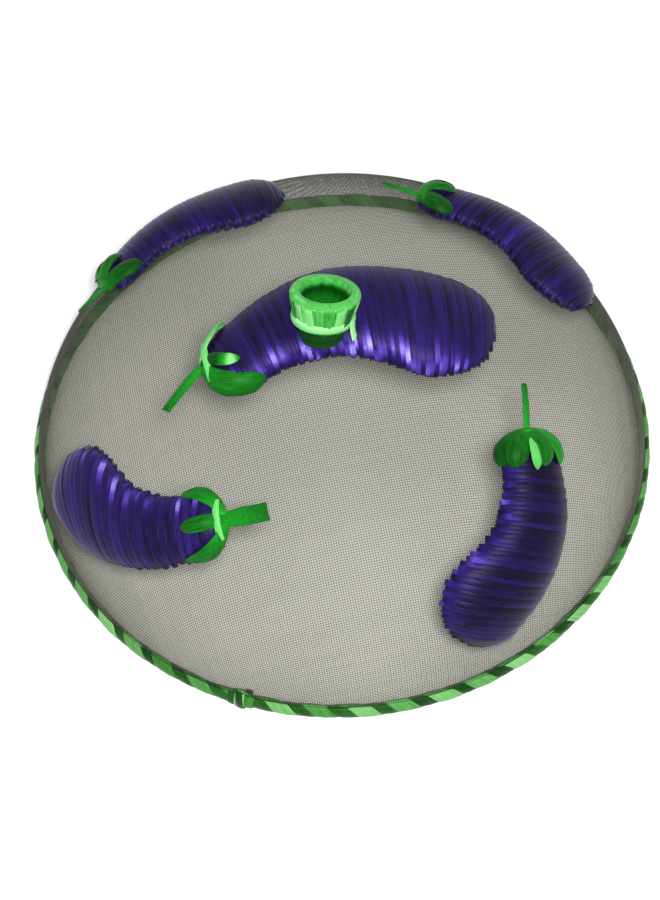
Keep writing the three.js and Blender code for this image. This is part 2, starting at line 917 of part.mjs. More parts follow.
// Least distance between points of the winding that are about a whole loop apart or more
function leastSelfGap(rings, loopSteps) {
  let least = Infinity;
  for (let first = 0; first < rings.length; first += 1) {
    for (let other = first + loopSteps - 2; other < rings.length; other += 1) {
      for (const a of rings[first]) {
        for (const b of rings[other]) {
          least = Math.min(least, a.distanceTo(b));
        }
      }
    }
  }
  return least;
}

// Ribbon wrapped level round the foot of the winding
function makeGripCollar(grip) {
  const loopReach = gripWall / 2 + gripCoreGap + gripRibbonThickness;
  const lower = gripWallRadius(0) + loopReach + touchGap;
  const upper = gripWallRadius(collarHeight) + loopReach + touchGap;
  const profile = [
    new THREE.Vector2(lower, 0),
    new THREE.Vector2(lower + collarThickness, 0),
    new THREE.Vector2(upper + collarThickness, collarHeight),
    new THREE.Vector2(upper, collarHeight),
    new THREE.Vector2(lower, 0),
  ];
  const collar = new THREE.LatheGeometry(profile, gripSegments);
  collar.rotateX(Math.PI / 2);
  collar.scale(1, gripOvalShare, 1);
  addPiece('grip_collar', collar, finish(paleGreen, 0.3, 0), grip);
}

// A geometry as a solid for cutting, in the frame that a matrix takes it to
function cuttable(geometry, matrix) {
  const bare = geometry.clone().applyMatrix4(matrix);
  bare.deleteAttribute('normal');
  bare.deleteAttribute('uv');
  const merged = mergeVertices(bare);
  const triVerts = Uint32Array.from(withoutFlatFaces(merged.index.array));
  const vertProperties = Float32Array.from(merged.attributes.position.array);
  return new wasm.Manifold(new wasm.Mesh({ numProp: 3, vertProperties, triVerts }));
}

// Triangles that a pole squeezed to a line are left out
function withoutFlatFaces(index) {
  const kept = [];
  for (let face = 0; face < index.length; face += 3) {
    const [a, b, c] = [index[face], index[face + 1], index[face + 2]];
    if (a !== b && b !== c && c !== a) {
      kept.push(a, b, c);
    }
  }
  return kept;
}

function fromSolid(solid) {
  const mesh = solid.getMesh();
  const geometry = new THREE.BufferGeometry();
  geometry.setAttribute('position', new THREE.BufferAttribute(mesh.vertProperties, 3));
  geometry.setIndex(new THREE.BufferAttribute(mesh.triVerts, 1));
  return geometry;
}

// The crown aubergine's body grown by the gap, to shape what sits on it
function crownRoom(body) {
  const rings = [];
  for (let ring = 0; ring < seatRoomRings; ring += 1) {
    const share = ring / (seatRoomRings - 1);
    const along = THREE.MathUtils.lerp(paddingStartShare, paddingEndShare, share);
    rings.push(mattressRing(body, along, seatGap, seatRoomSteps));
  }
  return rodBody(rings);
}

// A bound pad that fits the crown aubergine's rounded back
function makeGripSeat(grip, body) {
  const top = -(gripWall / 2 + gripCoreGap + gripRibbonThickness + touchGap);
  const profile = [
    new THREE.Vector2(0, top - seatDepth),
    new THREE.Vector2(seatFootRadius, top - seatDepth),
    new THREE.Vector2(seatTopRadius, top),
    new THREE.Vector2(0, top),
  ];
  const pad = new THREE.LatheGeometry(profile, gripSegments);
  pad.rotateX(Math.PI / 2);
  pad.scale(1, gripOvalShare, 1);
  grip.updateMatrixWorld(true);
  const toGrip = grip.matrixWorld.clone().invert();
  const room = cuttable(crownRoom(body), toGrip);
  const cut = cuttable(pad, new THREE.Matrix4()).subtract(room);
  const upperPart = cut.decompose().sort((a, b) => b.volume() - a.volume())[0];
  addPiece('grip_seat', fromSolid(upperPart), finish(deepGreen, 0.4, 0), grip);
}

// The ribbon's loose end, hanging from the collar
function makeGripTail(grip) {
  const azimuth = degrees(tailAzimuth);
  const loopReach = gripWall / 2 + gripCoreGap + gripRibbonThickness;
  const start = gripWallRadius(collarHeight) + loopReach + collarThickness + touchGap + tailGap;
  const rings = [];
  for (let ring = 0; ring < tailSections; ring += 1) {
    const share = ring / (tailSections - 1);
    const flare = tailFlareShare * tailLength * share ** 2;
    const radius = start + tailThickness / 2 + flare;
    const up = collarHeight * (1 - share) - tailDropShare * tailLength * share;
    const middle = gripPoint(radius, azimuth, up);
    const across = new THREE.Vector3(-Math.sin(azimuth), Math.cos(azimuth), 0);
    const outward = new THREE.Vector3(Math.cos(azimuth), Math.sin(azimuth), share);
    outward.normalize();
    const corners = [[-1, 1], [1, 1], [1, -1], [-1, -1]];
    rings.push(corners.map(([side, face]) => {
      const corner = middle.clone().addScaledVector(across, side * tailWidth / 2);
      return corner.addScaledVector(outward, face * tailThickness / 2);
    }));
  }
  addPiece('grip_tail', rodBody(rings), finish(paleGreen, 0.3, 0), grip);
}

function makeGrip(body) {
  const grip = new THREE.Group();
  const foot = domeAt(meshRadius * gripXShare, meshRadius * gripYShare);
  grip.position.set(foot.x, foot.y, foot.z + gripSeatLift);
  grip.rotation.set(degrees(-gripLeanBack), degrees(gripLeanRight), 0);
  cover.add(grip);
  makeGripSeat(grip, body);
  makeGripRing(grip);
  makeGripWinding(grip);
  makeGripCollar(grip);
  makeGripTail(grip);
}

makeDome();
makeHoop();
makeBinding();
makeRimKnot();

for (const piece of sideAubergines) {
  makeAubergine({ ...piece, axis: aubergineAxis(piece, sideSize), size: sideSize });
}

const crownAxis = aubergineAxis(crownAubergine, crownSize);
const crownBody = { ...crownAubergine, axis: crownAxis, size: crownSize };
makeAubergine(crownBody);
makeGrip(crownBody);

export default cover;
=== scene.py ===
"""A domed food cover of woven wire mesh, with ribbon-work aubergines and a ribbon-wound ring grip.

Metres, +Z up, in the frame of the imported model. The camera looks along +Y from the front and above.
"""
import math
import random

import bmesh
import bpy
import numpy as np
from bpy.props import FloatProperty, FloatVectorProperty, IntProperty, PointerProperty
from mathutils import Matrix, Vector


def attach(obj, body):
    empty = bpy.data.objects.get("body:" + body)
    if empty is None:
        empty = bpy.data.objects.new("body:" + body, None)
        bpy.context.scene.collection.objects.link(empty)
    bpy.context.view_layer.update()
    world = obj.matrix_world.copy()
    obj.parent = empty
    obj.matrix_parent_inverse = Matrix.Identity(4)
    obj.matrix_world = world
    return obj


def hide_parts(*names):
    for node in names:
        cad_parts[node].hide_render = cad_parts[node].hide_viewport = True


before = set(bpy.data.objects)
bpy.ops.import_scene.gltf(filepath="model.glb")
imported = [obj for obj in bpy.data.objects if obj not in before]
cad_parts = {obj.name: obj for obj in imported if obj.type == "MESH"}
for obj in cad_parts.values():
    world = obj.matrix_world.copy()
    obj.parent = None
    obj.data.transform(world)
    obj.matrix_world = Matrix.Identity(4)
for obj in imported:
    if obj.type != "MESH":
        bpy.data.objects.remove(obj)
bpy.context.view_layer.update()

bl_info = {
    "name": "Mesh food cover",
    "version": (1, 0, 0),
    "blender": (4, 5, 0),
    "location": "3D View > Sidebar > Food cover",
    "description": "Builds a domed mesh food cover with ribbon-work aubergines",
    "category": "Object",
}

MM = 0.001
FULL_TURN = 2 * math.pi

# Each set of wires is in this many pieces, to keep each piece small. The weave is laid out to this
# height before it is cut at the rim, with this many corrections of each crossing
MESH_PARTS = 3
WEAVE_LOWEST = -10 * MM
CORRECTIONS = 8

# The dome and its rim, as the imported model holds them
COVER_RADIUS = 175 * MM
DOME_HEIGHT = 103 * MM
DOME_FULLNESS = 2.13
MESH_THICKNESS = 0.7 * MM
BINDING_RADIUS = 3 * MM
STANDING_FLAT = 0.5 * MM
TOUCH_GAP = 0.3 * MM
HOOP_RADIUS = COVER_RADIUS - BINDING_RADIUS
HOOP_HEIGHT = BINDING_RADIUS - STANDING_FLAT
MESH_RADIUS = HOOP_RADIUS + MESH_THICKNESS / 2

# How an aubergine swells and fades along its line, as shares of its length, and the line's points
# between each two of its places
LINE_POINTS = 120
BULB_ROUND_SHARE = 0.2
BULB_FADE_SHARES = (0.15, 0.6)
NECK_ROUND_SHARE = 0.13
NECK_FADE_SHARES = (0.5, 0.9)

# The smaller aubergines around the side, and the larger one over the crown
SIDE_SIZE = {
    "length": 118 * MM,
    "along_shares": (-0.5, -0.27, -0.06, 0.16, 0.31, 0.51),
    "across_shares": (0.034, -0.028, -0.086, -0.083, -0.04, 0.034),
    "bulb_width": 49 * MM, "middle_width": 40 * MM, "neck_width": 32 * MM,
    "bulb_height": 10.5 * MM, "neck_height": 9 * MM, "calyx_length": 22.5 * MM,
}
CROWN_SIZE = {
    "length": 164 * MM,
    "along_shares": (-0.505, -0.36, -0.19, 0.015, 0.19, 0.377, 0.5),
    "across_shares": (-0.03, -0.108, -0.167, -0.192, -0.141, -0.037, -0.008),
    "bulb_width": 64 * MM, "middle_width": 55 * MM, "neck_width": 40 * MM,
    "bulb_height": 13 * MM, "neck_height": 10 * MM, "calyx_length": 29 * MM,
}

# How each aubergine lies and is worked. Angles are in degrees. A tone of 0 is the ribbon's deep
# colour, 0.45 its own colour, and 1 its brightest shine.
# strand_headings: heading of the strands in plan, at the bulb and at the neck
# painted_flank_highlight, flank_reach: the painted highlight on each flank, and how far up the body
# it reaches
# dullness: how much deeper in tone the strands are than the usual ones
# leaves: turn over the body at the root and at the tip, shares of the usual length and width, and
# a tone, or a row of tones from root to tip
# stem_length_share, stem_width_share, stem_turn: its size against the usual one, and its turn off
# the body's line
# band_tone: tone of the ribbon across the roots of the leaves
BACK = dict(
    size=SIDE_SIZE, radius_share=0.735, painted_flank_highlight=(0.08, 0.04), flank_reach=0.25, dullness=0.06,
    leaves=((62, 25, 0.9, 1.2, 0.0), (118, 155, 0.9, 1.2, 0.06), (90, 88, 0.85, 1.3, 0.12)),
    stem_length_share=1, stem_width_share=1, stem_turn=0,
)
AUBERGINES = (
    dict(
        name="front_left", size=SIDE_SIZE, azimuth=-146, radius_share=0.795, heading=28.5,
        strand_headings=(99, 92), painted_flank_highlight=(0.0, 0.5), flank_reach=0.26, dullness=0.0,
        leaves=((90, 92, 0.95, 1.0, 0.1), (50, 14, 1.0, 1.25, 0.2), (130, 166, 1.05, 1.25, 0.12)),
        stem_length_share=1.1, stem_width_share=1.6, stem_turn=-4, band_tone=0.72, seed=11,
    ),
    dict(
        name="front_right", size=SIDE_SIZE, azimuth=-54, radius_share=0.805, heading=35,
        strand_headings=(4, 6), painted_flank_highlight=(0.52, 0.0), flank_reach=0.2, dullness=0.14,
        leaves=(
            (150, 172, 0.75, 1.3, 0.05), (30, 8, 0.8, 1.5, 0.05), (118, 142, 0.85, 1.5, 0.3),
            (62, 44, 0.9, 1.7, 0.05), (92, 98, 0.9, 1.5, 0.1), (85, 82, 0.97, 0.85, 0.6),
        ),
        stem_length_share=1.15, stem_width_share=0.65, stem_turn=-10, band_tone=0.45, seed=23,
    ),
    dict(
        BACK, name="back_right", azimuth=37, heading=14, strand_headings=(48, 54),
        band_tone=0.25, seed=37,
    ),
    dict(
        BACK, name="back_left", azimuth=129.5, heading=-18, strand_headings=(104, 118),
        band_tone=0.15, seed=41,
    ),
    dict(
        name="crown", size=CROWN_SIZE, azimuth=-74, radius_share=0.112, heading=163.7,
        strand_headings=(88, 116), painted_flank_highlight=(0.66, 0.0), flank_reach=0.22, dullness=0.02,
        leaves=(
            # The first leaf's row of tones paints a glint near its tip
            (100, 68, 0.66, 0.9, (-0.15, -0.15, -0.15, -0.1, 0.35, 1.0, 0.1)),
            (60, 10, 0.82, 1.55, 0.15), (110, 176, 0.85, 1.0, 0.7),
        ),
        stem_length_share=1.55, stem_width_share=1, stem_turn=37, band_tone=0.75, seed=59,
    ),
)

# The strands: the shares of the body that they cover, how far their ends go under the mesh and
# how narrow they are there, how far they are pulled into the padding, by how much every other one
# is longer, and the points and tones along each. Their way back is drawn narrower, under the mesh
STRANDS_FROM, STRANDS_TO = -0.25, 0.965
STRAND_ENDS_UNDER = 0.9 * MM
STRAND_END_WIDTH = 0.62
STRAND_PULL = 0.25 * MM
STRAND_TOOTH = 0.8 * MM
STRAND_POINTS = 23
STRAND_TONES = 17
BACK_RIBBON_WIDTH = 0.85
BACK_RIBBON_DEPTH = 1.5 * MM

# The pad under them: how far it stays inside the body's outline and its ends, and off the mesh
PAD_INSET = 1.0 * MM
PAD_ENDS = (0.012, 0.987)
PAD_LIFT = 0.4 * MM

# The ribbon across the roots of the leaves, and how the leaves lie over one another
NECK_BAND_SHARE = 0.972
NECK_BAND_WIDTH = 3.8 * MM
NECK_BAND_HEIGHT = 3 * MM
LEAF_LIFT = 0.9 * MM
LEAF_STEP = 0.35 * MM

# The stem, a ribbon twisted on itself
STEM_LENGTH = 20 * MM
STEM_WIDTH = 5 * MM
STEM_TWIST = 15
STEM_ROOT_HEIGHT = 3.2 * MM
STEM_RISE = 4 * MM

# The ring grip: its place on the dome as shares of the mesh radius, its lean and its wall
GRIP_PLACE_SHARES = (-0.033, -0.03)
GRIP_SEAT_LIFT = 18.6 * MM
GRIP_LEAN_BACK = 15
GRIP_LEAN_RIGHT = 7
GRIP_TOP_RADIUS = 15.6 * MM
GRIP_BOTTOM_RADIUS = 12.4 * MM
GRIP_OVAL_SHARE = 0.82
GRIP_HEIGHT = 15 * MM
GRIP_WALL = 2.4 * MM
GRIP_CORE_GAP = 0.45 * MM
GRIP_RIBBON_THICKNESS = 0.7 * MM
# From the middle of the wall to the outside of its ribbon
GRIP_REACH = GRIP_WALL / 2 + GRIP_CORE_GAP + GRIP_RIBBON_THICKNESS
COLLAR_HEIGHT = 4 * MM
COLLAR_THICKNESS = 1.3 * MM
LAP_AZIMUTH = -35
SEAT_TOP_RADIUS = 12.6 * MM
SEAT_WRAPS = 4
SEAT_WRAP_PITCH = 2.6 * MM
SEAT_WRAP_STEP = 0.55 * MM
SEAT_STRIP_PITCH = 3.4 * MM
TAIL_LENGTH = 12 * MM
TAIL_WIDTH = 5.5 * MM
TAIL_AZIMUTH = -32

# The rim's ribbon: its thickness, its swell between its edges, the depth of its creases, its foot
# on the floor, and how far it stands up the mesh
RIM_RIBBON_THICKNESS = 0.35 * MM
RIM_ARCH = 0.4 * MM
RIM_CREASE = 0.06 * MM
RIM_FOOT = 0.05 * MM
RIM_LIFT = 2 * MM
KNOT_AZIMUTH = -110.5

# Sections of the swept ribbons, as shares of half the width, and the creases in that half
STRAND_SECTION = {"Thickness": 0.1, "Arch": 0.07, "Crease": 0.025, "Creases": 2.0}
LEAF_SECTION = {"Thickness": 0.07, "Arch": 0.26, "Crease": 0.03, "Creases": 1.0}
STEM_SECTION = {"Thickness": 0.16, "Arch": 0.3, "Crease": 0.08, "Creases": 1.5}
GRIP_SECTION = {"Thickness": 0.12, "Arch": 0.16, "Crease": 0.03, "Creases": 2.0}

# The satins, each from its deep colour by its own to its shines
PURPLE = ("0b0818", "27185e", "553da6", "ada0ea")
LEAF = ("083a0c", "1a8a20", "8fe88c")
PALE = ("2c8a30", "5cc85c", "b4f2b0")
# The grip's seat is bound in this dark green, as painted shade under the ring
DARK = ("06240a", "125014", "3f923c")
RIM = ("0e2f0b", "33762c", "88c87e")


def a_length(label, about, default):
    return FloatProperty(name=label, description=about, default=default, unit="LENGTH")


def an_angle(label, about, degrees):
    turn = math.radians(degrees)
    return FloatProperty(name=label, description=about, default=turn, subtype="ANGLE")


def a_power(label, about, default):
    return FloatProperty(name=label, description=about, default=default, subtype="POWER")


def a_colour(label, about, default):
    return FloatVectorProperty(
        name=label, description=about, default=default, subtype="COLOR_GAMMA",
    )


class FoodCoverMesh(bpy.types.PropertyGroup):
    """Sizes and colour of the woven wire"""

    pitch: a_length("Wire pitch", "Distance between neighbouring wires", 1.3 * MM)
    wire: a_length("Wire diameter", "Thickness of one wire", 0.27 * MM)
    turn: an_angle("Weave turn", "Turn of the weave about the crown", 9)
    tint: a_colour("Wire colour", "Colour of the dull steel", (0.3, 0.315, 0.26))


class FoodCoverRim(bpy.types.PropertyGroup):
    """Sizes of the ribbon bound round the rim"""

    turns: IntProperty(
        name="Turns", description="Turns of each of the two ribbons round the rim", default=50,
    )
    ribbon_width: a_length("Ribbon width", "Width of the rim's ribbon", 13.6 * MM)


class FoodCoverAubergines(bpy.types.PropertyGroup):
    """Sizes of the ribbon that the aubergines are worked in"""

    strand_pitch: a_length("Strand pitch", "Distance between neighbouring strands", 2.4 * MM)
    strand_width: a_length("Strand width", "Width of a strand over the padding", 3.5 * MM)
    leaf_width: a_length("Leaf width", "Width of a calyx leaf", 9 * MM)


class FoodCoverGrip(bpy.types.PropertyGroup):
    """Sizes of the ribbon wound on the ring grip"""

    loops: IntProperty(name="Loops", description="Loops of ribbon round the ring", default=17)
    ribbon_width: a_length("Ribbon width", "Width of the ring's ribbon", 7.4 * MM)


class FoodCoverStage(bpy.types.PropertyGroup):
    """The floor, the lamps and the camera"""

    floor: a_colour("Floor colour", "Colour of the plain floor", (0.98, 0.98, 0.978))
    # Inside the rim the floor is darker, as painted shade under the cover
    inner_floor: a_colour("Inner floor colour", "Floor inside the rim", (0.825, 0.815, 0.775))
    key_power: a_power("Key power", "Power of the soft lamp beside the camera", 15)
    fill_power: a_power("Fill power", "Power of the wide lamp overhead", 4)
    sky: FloatProperty(
        name="Room light", description="Strength of the even light from all round", default=0.2,
    )
    distance: a_length("Camera distance", "Distance of the camera from the rim's centre", 1.05)
    elevation: an_angle("Camera elevation", "Height of the camera above the horizon", 57.35)
    roll: an_angle("Camera roll", "Turn of the camera about its own line of sight", 3.4)


# Materials

def linear(hex_colour):
    """An sRGB colour such as 3f2a7a as linear red, green, blue and full alpha."""
    values = [int(hex_colour[place:place + 2], 16) / 255 for place in (0, 2, 4)]
    bent = [v / 12.92 if v <= 0.04045 else ((v + 0.055) / 1.055) ** 2.4 for v in values]
    return (*bent, 1)


def linear_rgb(colour):
    """The same for a colour given as three sRGB shares."""
    return linear("".join(f"{round(share * 255):02x}" for share in colour))


def add(tree, kind, sockets=None, **settings):
    """Adds a node, sets its properties, and sets or links its input sockets."""
    node = tree.nodes.new(kind)
    for name, value in settings.items():
        setattr(node, name, value)
    join(tree, node, sockets or {})
    return node


def join(tree, node, sockets):
    """Sets input sockets to values, or links them to sockets or to the first output of nodes."""
    for name, value in sockets.items():
        if isinstance(value, bpy.types.Node):
            value = value.outputs[0]
        if isinstance(value, bpy.types.NodeSocket):
            tree.links.new(value, node.inputs[name])
        else:
            node.inputs[name].default_value = value


def new_material(name):
    """A material with a shader joined to its output, as itself, its tree and the shader."""
    material = bpy.data.materials.new(name)
    material.use_nodes = True
    tree = material.node_tree
    tree.nodes.clear()
    shader = add(tree, "ShaderNodeBsdfPrincipled")
    add(tree, "ShaderNodeOutputMaterial", {"Surface": shader})
    return material, tree, shader


def set_stops(ramp, stops):
    """Gives a colour ramp its stops, each a place and a colour."""
    elements = ramp.color_ramp.elements
    while len(elements) < len(stops):
        elements.new(1)
    for element, (place, colour) in zip(elements, stops):
        element.position = place
        element.color = linear(colour)
    return ramp


def satin_ribbon(name, deep, body, *lights, roughness=0.36):
    """Polyester satin: long smooth floats along the ribbon give a soft streaky shine."""
    material, tree, shader = new_material(name)
    # Floats are 0.1 mm apart on real satin. Here they are 0.4 mm apart, to show at all
    scales = {"across": 5.5, "run": 90.0, "tone": 37.0}
    read = {
        label: add(tree, "ShaderNodeAttribute", attribute_name=label).outputs["Fac"]
        for label in scales
    }
    place = add(tree, "ShaderNodeCombineXYZ", {
        axis: add(tree, "ShaderNodeMath", {0: read[label], 1: scale}, operation="MULTIPLY")
        for axis, (label, scale) in zip("XYZ", scales.items())
    })
    fibres = add(tree, "ShaderNodeTexNoise", {
        "Vector": place, "Scale": 1.0, "Detail": 3.0, "Roughness": 0.6,
    }).outputs["Fac"]
    streak = add(tree, "ShaderNodeMath", {
        0: fibres, 1: 0.5, 2: read["tone"],
    }, operation="MULTIPLY_ADD")
    shade = add(tree, "ShaderNodeMath", {0: streak, 1: 0.25}, operation="SUBTRACT")
    places = np.linspace(0.45, 1, len(lights) + 1)
    stops = ((0.0, deep), *zip(places, (body, *lights)))
    shine = linear(lights[-1])
    join(tree, shader, {
        "Base Color": set_stops(add(tree, "ShaderNodeValToRGB", {"Fac": shade}), stops),
        "Roughness": add(tree, "ShaderNodeMapRange", {
            "Value": fibres, "To Min": roughness - 0.06, "To Max": roughness + 0.1,
        }),
        "Normal": add(tree, "ShaderNodeBump", {
            "Strength": 0.5, "Distance": 0.2 * MM, "Height": fibres,
        }),
        "Specular IOR Level": 0.2, "Specular Tint": shine, "Sheen Weight": 0.05,
        "Sheen Roughness": 0.4, "Sheen Tint": shine,
    })
    return material


def woven_steel_wire(colour):
    """Dull galvanised wire: a soft dark grey, with duller and brighter lengths."""
    material, tree, shader = new_material("woven_steel_wire")
    place = add(tree, "ShaderNodeTexCoord").outputs["Object"]
    # Patches of duller zinc are about 15 mm across
    patches = add(tree, "ShaderNodeTexNoise", {
        "Vector": place, "Scale": 65.0, "Detail": 3.0,
    }).outputs["Fac"]
    join(tree, shader, {
        "Base Color": add(tree, "ShaderNodeMix", {
            "Factor": patches, 6: linear_rgb(colour), 7: linear_rgb([0.86 * c for c in colour]),
        }, data_type="RGBA").outputs[2],
        "Metallic": 0.3,
        "Roughness": add(tree, "ShaderNodeMapRange", {
            "Value": patches, "To Min": 0.38, "To Max": 0.6,
        }),
    })
    return material


def fine_grained(name, scale, detail, colours, sockets, rough=None, relief=None):
    """A finish with one fine grain, which varies its colour, and its roughness or its relief."""
    material, tree, shader = new_material(name)
    place = add(tree, "ShaderNodeTexCoord").outputs["Object"]
    grain = add(tree, "ShaderNodeTexNoise", {
        "Vector": place, "Scale": scale, "Detail": detail,
    }).outputs["Fac"]
    ramp = add(tree, "ShaderNodeValToRGB", {"Fac": grain})
    join(tree, shader, {"Base Color": set_stops(ramp, list(zip((0.3, 0.7), colours))), **sockets})
    if rough:
        join(tree, shader, {"Roughness": add(tree, "ShaderNodeMapRange", {
            "Value": grain, "To Min": rough[0], "To Max": rough[1],
        })})
    if relief:
        join(tree, shader, {"Normal": add(tree, "ShaderNodeBump", {
            "Strength": relief[0], "Distance": relief[1], "Height": grain,
        })})
    return material


def drawn_steel_wire():
    """Drawn steel wire: mid grey metal with fine lines along it."""
    return fine_grained(
        "drawn_steel_wire", 900.0, 2.0, ("85857f", "9b9b95"), {"Metallic": 1.0}, rough=(0.3, 0.45),
    )


def moulded_polypropylene():
    """Moulded polypropylene: waxy off-white with a faint orange-peel skin."""
    return fine_grained(
        "moulded_polypropylene", 700.0, 2.0, ("c2c2ba", "d0d0c9"),
        {"Roughness": 0.45, "IOR": 1.49}, relief=(0.2, 0.1 * MM),
    )


def needled_felt():
    """Needled felt wadding: matt dark purple, fuzzy at the scale of a millimetre."""
    return fine_grained(
        "needled_felt", 1100.0, 4.0, ("1a1433", "2c2350"), {"Roughness": 0.9},
        relief=(0.6, 0.3 * MM),
    )


def looked_at(tree):
    """One for rays that come from the camera or by way of a shine, and nothing for the rest."""
    rays = add(tree, "ShaderNodeLightPath").outputs
    shine = add(tree, "ShaderNodeMath", {
        0: rays["Is Glossy Ray"], 1: rays["Is Transmission Ray"],
    }, operation="MAXIMUM")
    return add(tree, "ShaderNodeMath", {0: rays["Is Camera Ray"], 1: shine}, operation="MAXIMUM")


def matt_card(colour, inner_colour, radius):
    """Matt card for the floor: plain white, and inside the rim a warm grey that is painted shade
    under the cover.
    """
    material, tree, shader = new_material("matt_card")
    place = add(tree, "ShaderNodeTexCoord").outputs["Object"]
    mottle = add(tree, "ShaderNodeTexNoise", {
        "Vector": place, "Scale": 30.0, "Detail": 2.0,
    }).outputs["Fac"]
    reach = add(tree, "ShaderNodeVectorMath", {0: place}, operation="LENGTH").outputs["Value"]
    outside = add(tree, "ShaderNodeMath", {0: reach, 1: radius}, operation="GREATER_THAN")
    ground = add(tree, "ShaderNodeMix", {
        "Factor": outside, 6: linear_rgb(inner_colour), 7: linear_rgb(colour),
    }, data_type="RGBA").outputs[2]
    fade = add(tree, "ShaderNodeMapRange", {"Value": mottle, "To Min": 1.0, "To Max": 0.985})
    # Outside the rim the card is plain white. Where it is looked at, it gets lighter outward
    lift = add(tree, "ShaderNodeMapRange", {
        "Value": reach, "From Min": radius, "From Max": 1.4, "To Min": 0.1, "To Max": 0.95,
    })
    shown = add(tree, "ShaderNodeMath", {0: looked_at(tree), 1: outside}, operation="MULTIPLY")
    join(tree, shader, {
        "Base Color": add(tree, "ShaderNodeHueSaturation", {"Color": ground, "Value": fade}),
        "Roughness": 0.85, "Emission Color": (1, 1, 1, 1),
        "Emission Strength": add(tree, "ShaderNodeMath", {0: shown, 1: lift}, operation="MULTIPLY"),
    })
    return material


# Shape of the dome

def unit(vectors):
    return vectors / np.linalg.norm(vectors, axis=1)[:, None]


def dome_rule(points):
    """One for a point on the mesh, and less inside it."""
    across = np.hypot(points[:, 0], points[:, 1]) / MESH_RADIUS
    up = np.maximum(points[:, 2], 0) / DOME_HEIGHT
    return across ** DOME_FULLNESS + up ** DOME_FULLNESS


def dome_slopes(points):
    """The direction in which the rule grows at some points, and how fast for its power."""
    radius = np.maximum(np.hypot(points[:, 0], points[:, 1]), 1e-9)
    power = DOME_FULLNESS - 1
    outward = (radius / MESH_RADIUS) ** power / MESH_RADIUS
    upward = (np.maximum(points[:, 2], 0) / DOME_HEIGHT) ** power / DOME_HEIGHT
    return np.stack([points[:, 0] / radius * outward, points[:, 1] / radius * outward, upward], 1)


def dome_feet(points):
    """The places of the mesh straight out from the origin through some points."""
    return points / (dome_rule(points) ** (1 / DOME_FULLNESS))[:, None]


def dome_normals(points):
    """The way that the mesh faces under some points."""
    return unit(dome_slopes(dome_feet(points)))


def over_dome(points, heights):
    """Points at some heights above the mesh, over other points."""
    feet = dome_feet(points)
    return feet + unit(dome_slopes(feet)) * np.reshape(heights, (-1, 1))


def dome_at(x, y):
    """The place of the mesh straight over a point of the floor."""
    across = math.hypot(x, y) / MESH_RADIUS
    up = (1 - across ** DOME_FULLNESS) ** (1 / DOME_FULLNESS)
    return Vector((x, y, up * DOME_HEIGHT))


# Sweeps along paths

def new_tree(name, numbers):
    """A geometry tree with one geometry in and out, named numbers and a material."""
    tree = bpy.data.node_groups.new(name, "GeometryNodeTree")
    kinds = {int: "NodeSocketInt", float: "NodeSocketFloat"}
    tree.interface.new_socket("Geometry", in_out="INPUT", socket_type="NodeSocketGeometry")
    tree.interface.new_socket("Geometry", in_out="OUTPUT", socket_type="NodeSocketGeometry")
    for label, value in numbers.items():
        socket = tree.interface.new_socket(label, in_out="INPUT", socket_type=kinds[type(value)])
        socket.default_value = value
    tree.interface.new_socket("Material", in_out="INPUT", socket_type="NodeSocketMaterial")
    return tree, add(tree, "NodeGroupInput").outputs


def end_tree(tree, geometry, material):
    """Makes a tree's result real, smooth and painted, and sends it out."""
    solid = add(tree, "GeometryNodeRealizeInstances", {"Geometry": geometry})
    smooth = add(tree, "GeometryNodeSetShadeSmooth", {"Geometry": solid})
    painted = add(tree, "GeometryNodeSetMaterial", {"Geometry": smooth, "Material": material})
    add(tree, "NodeGroupOutput", {"Geometry": painted})


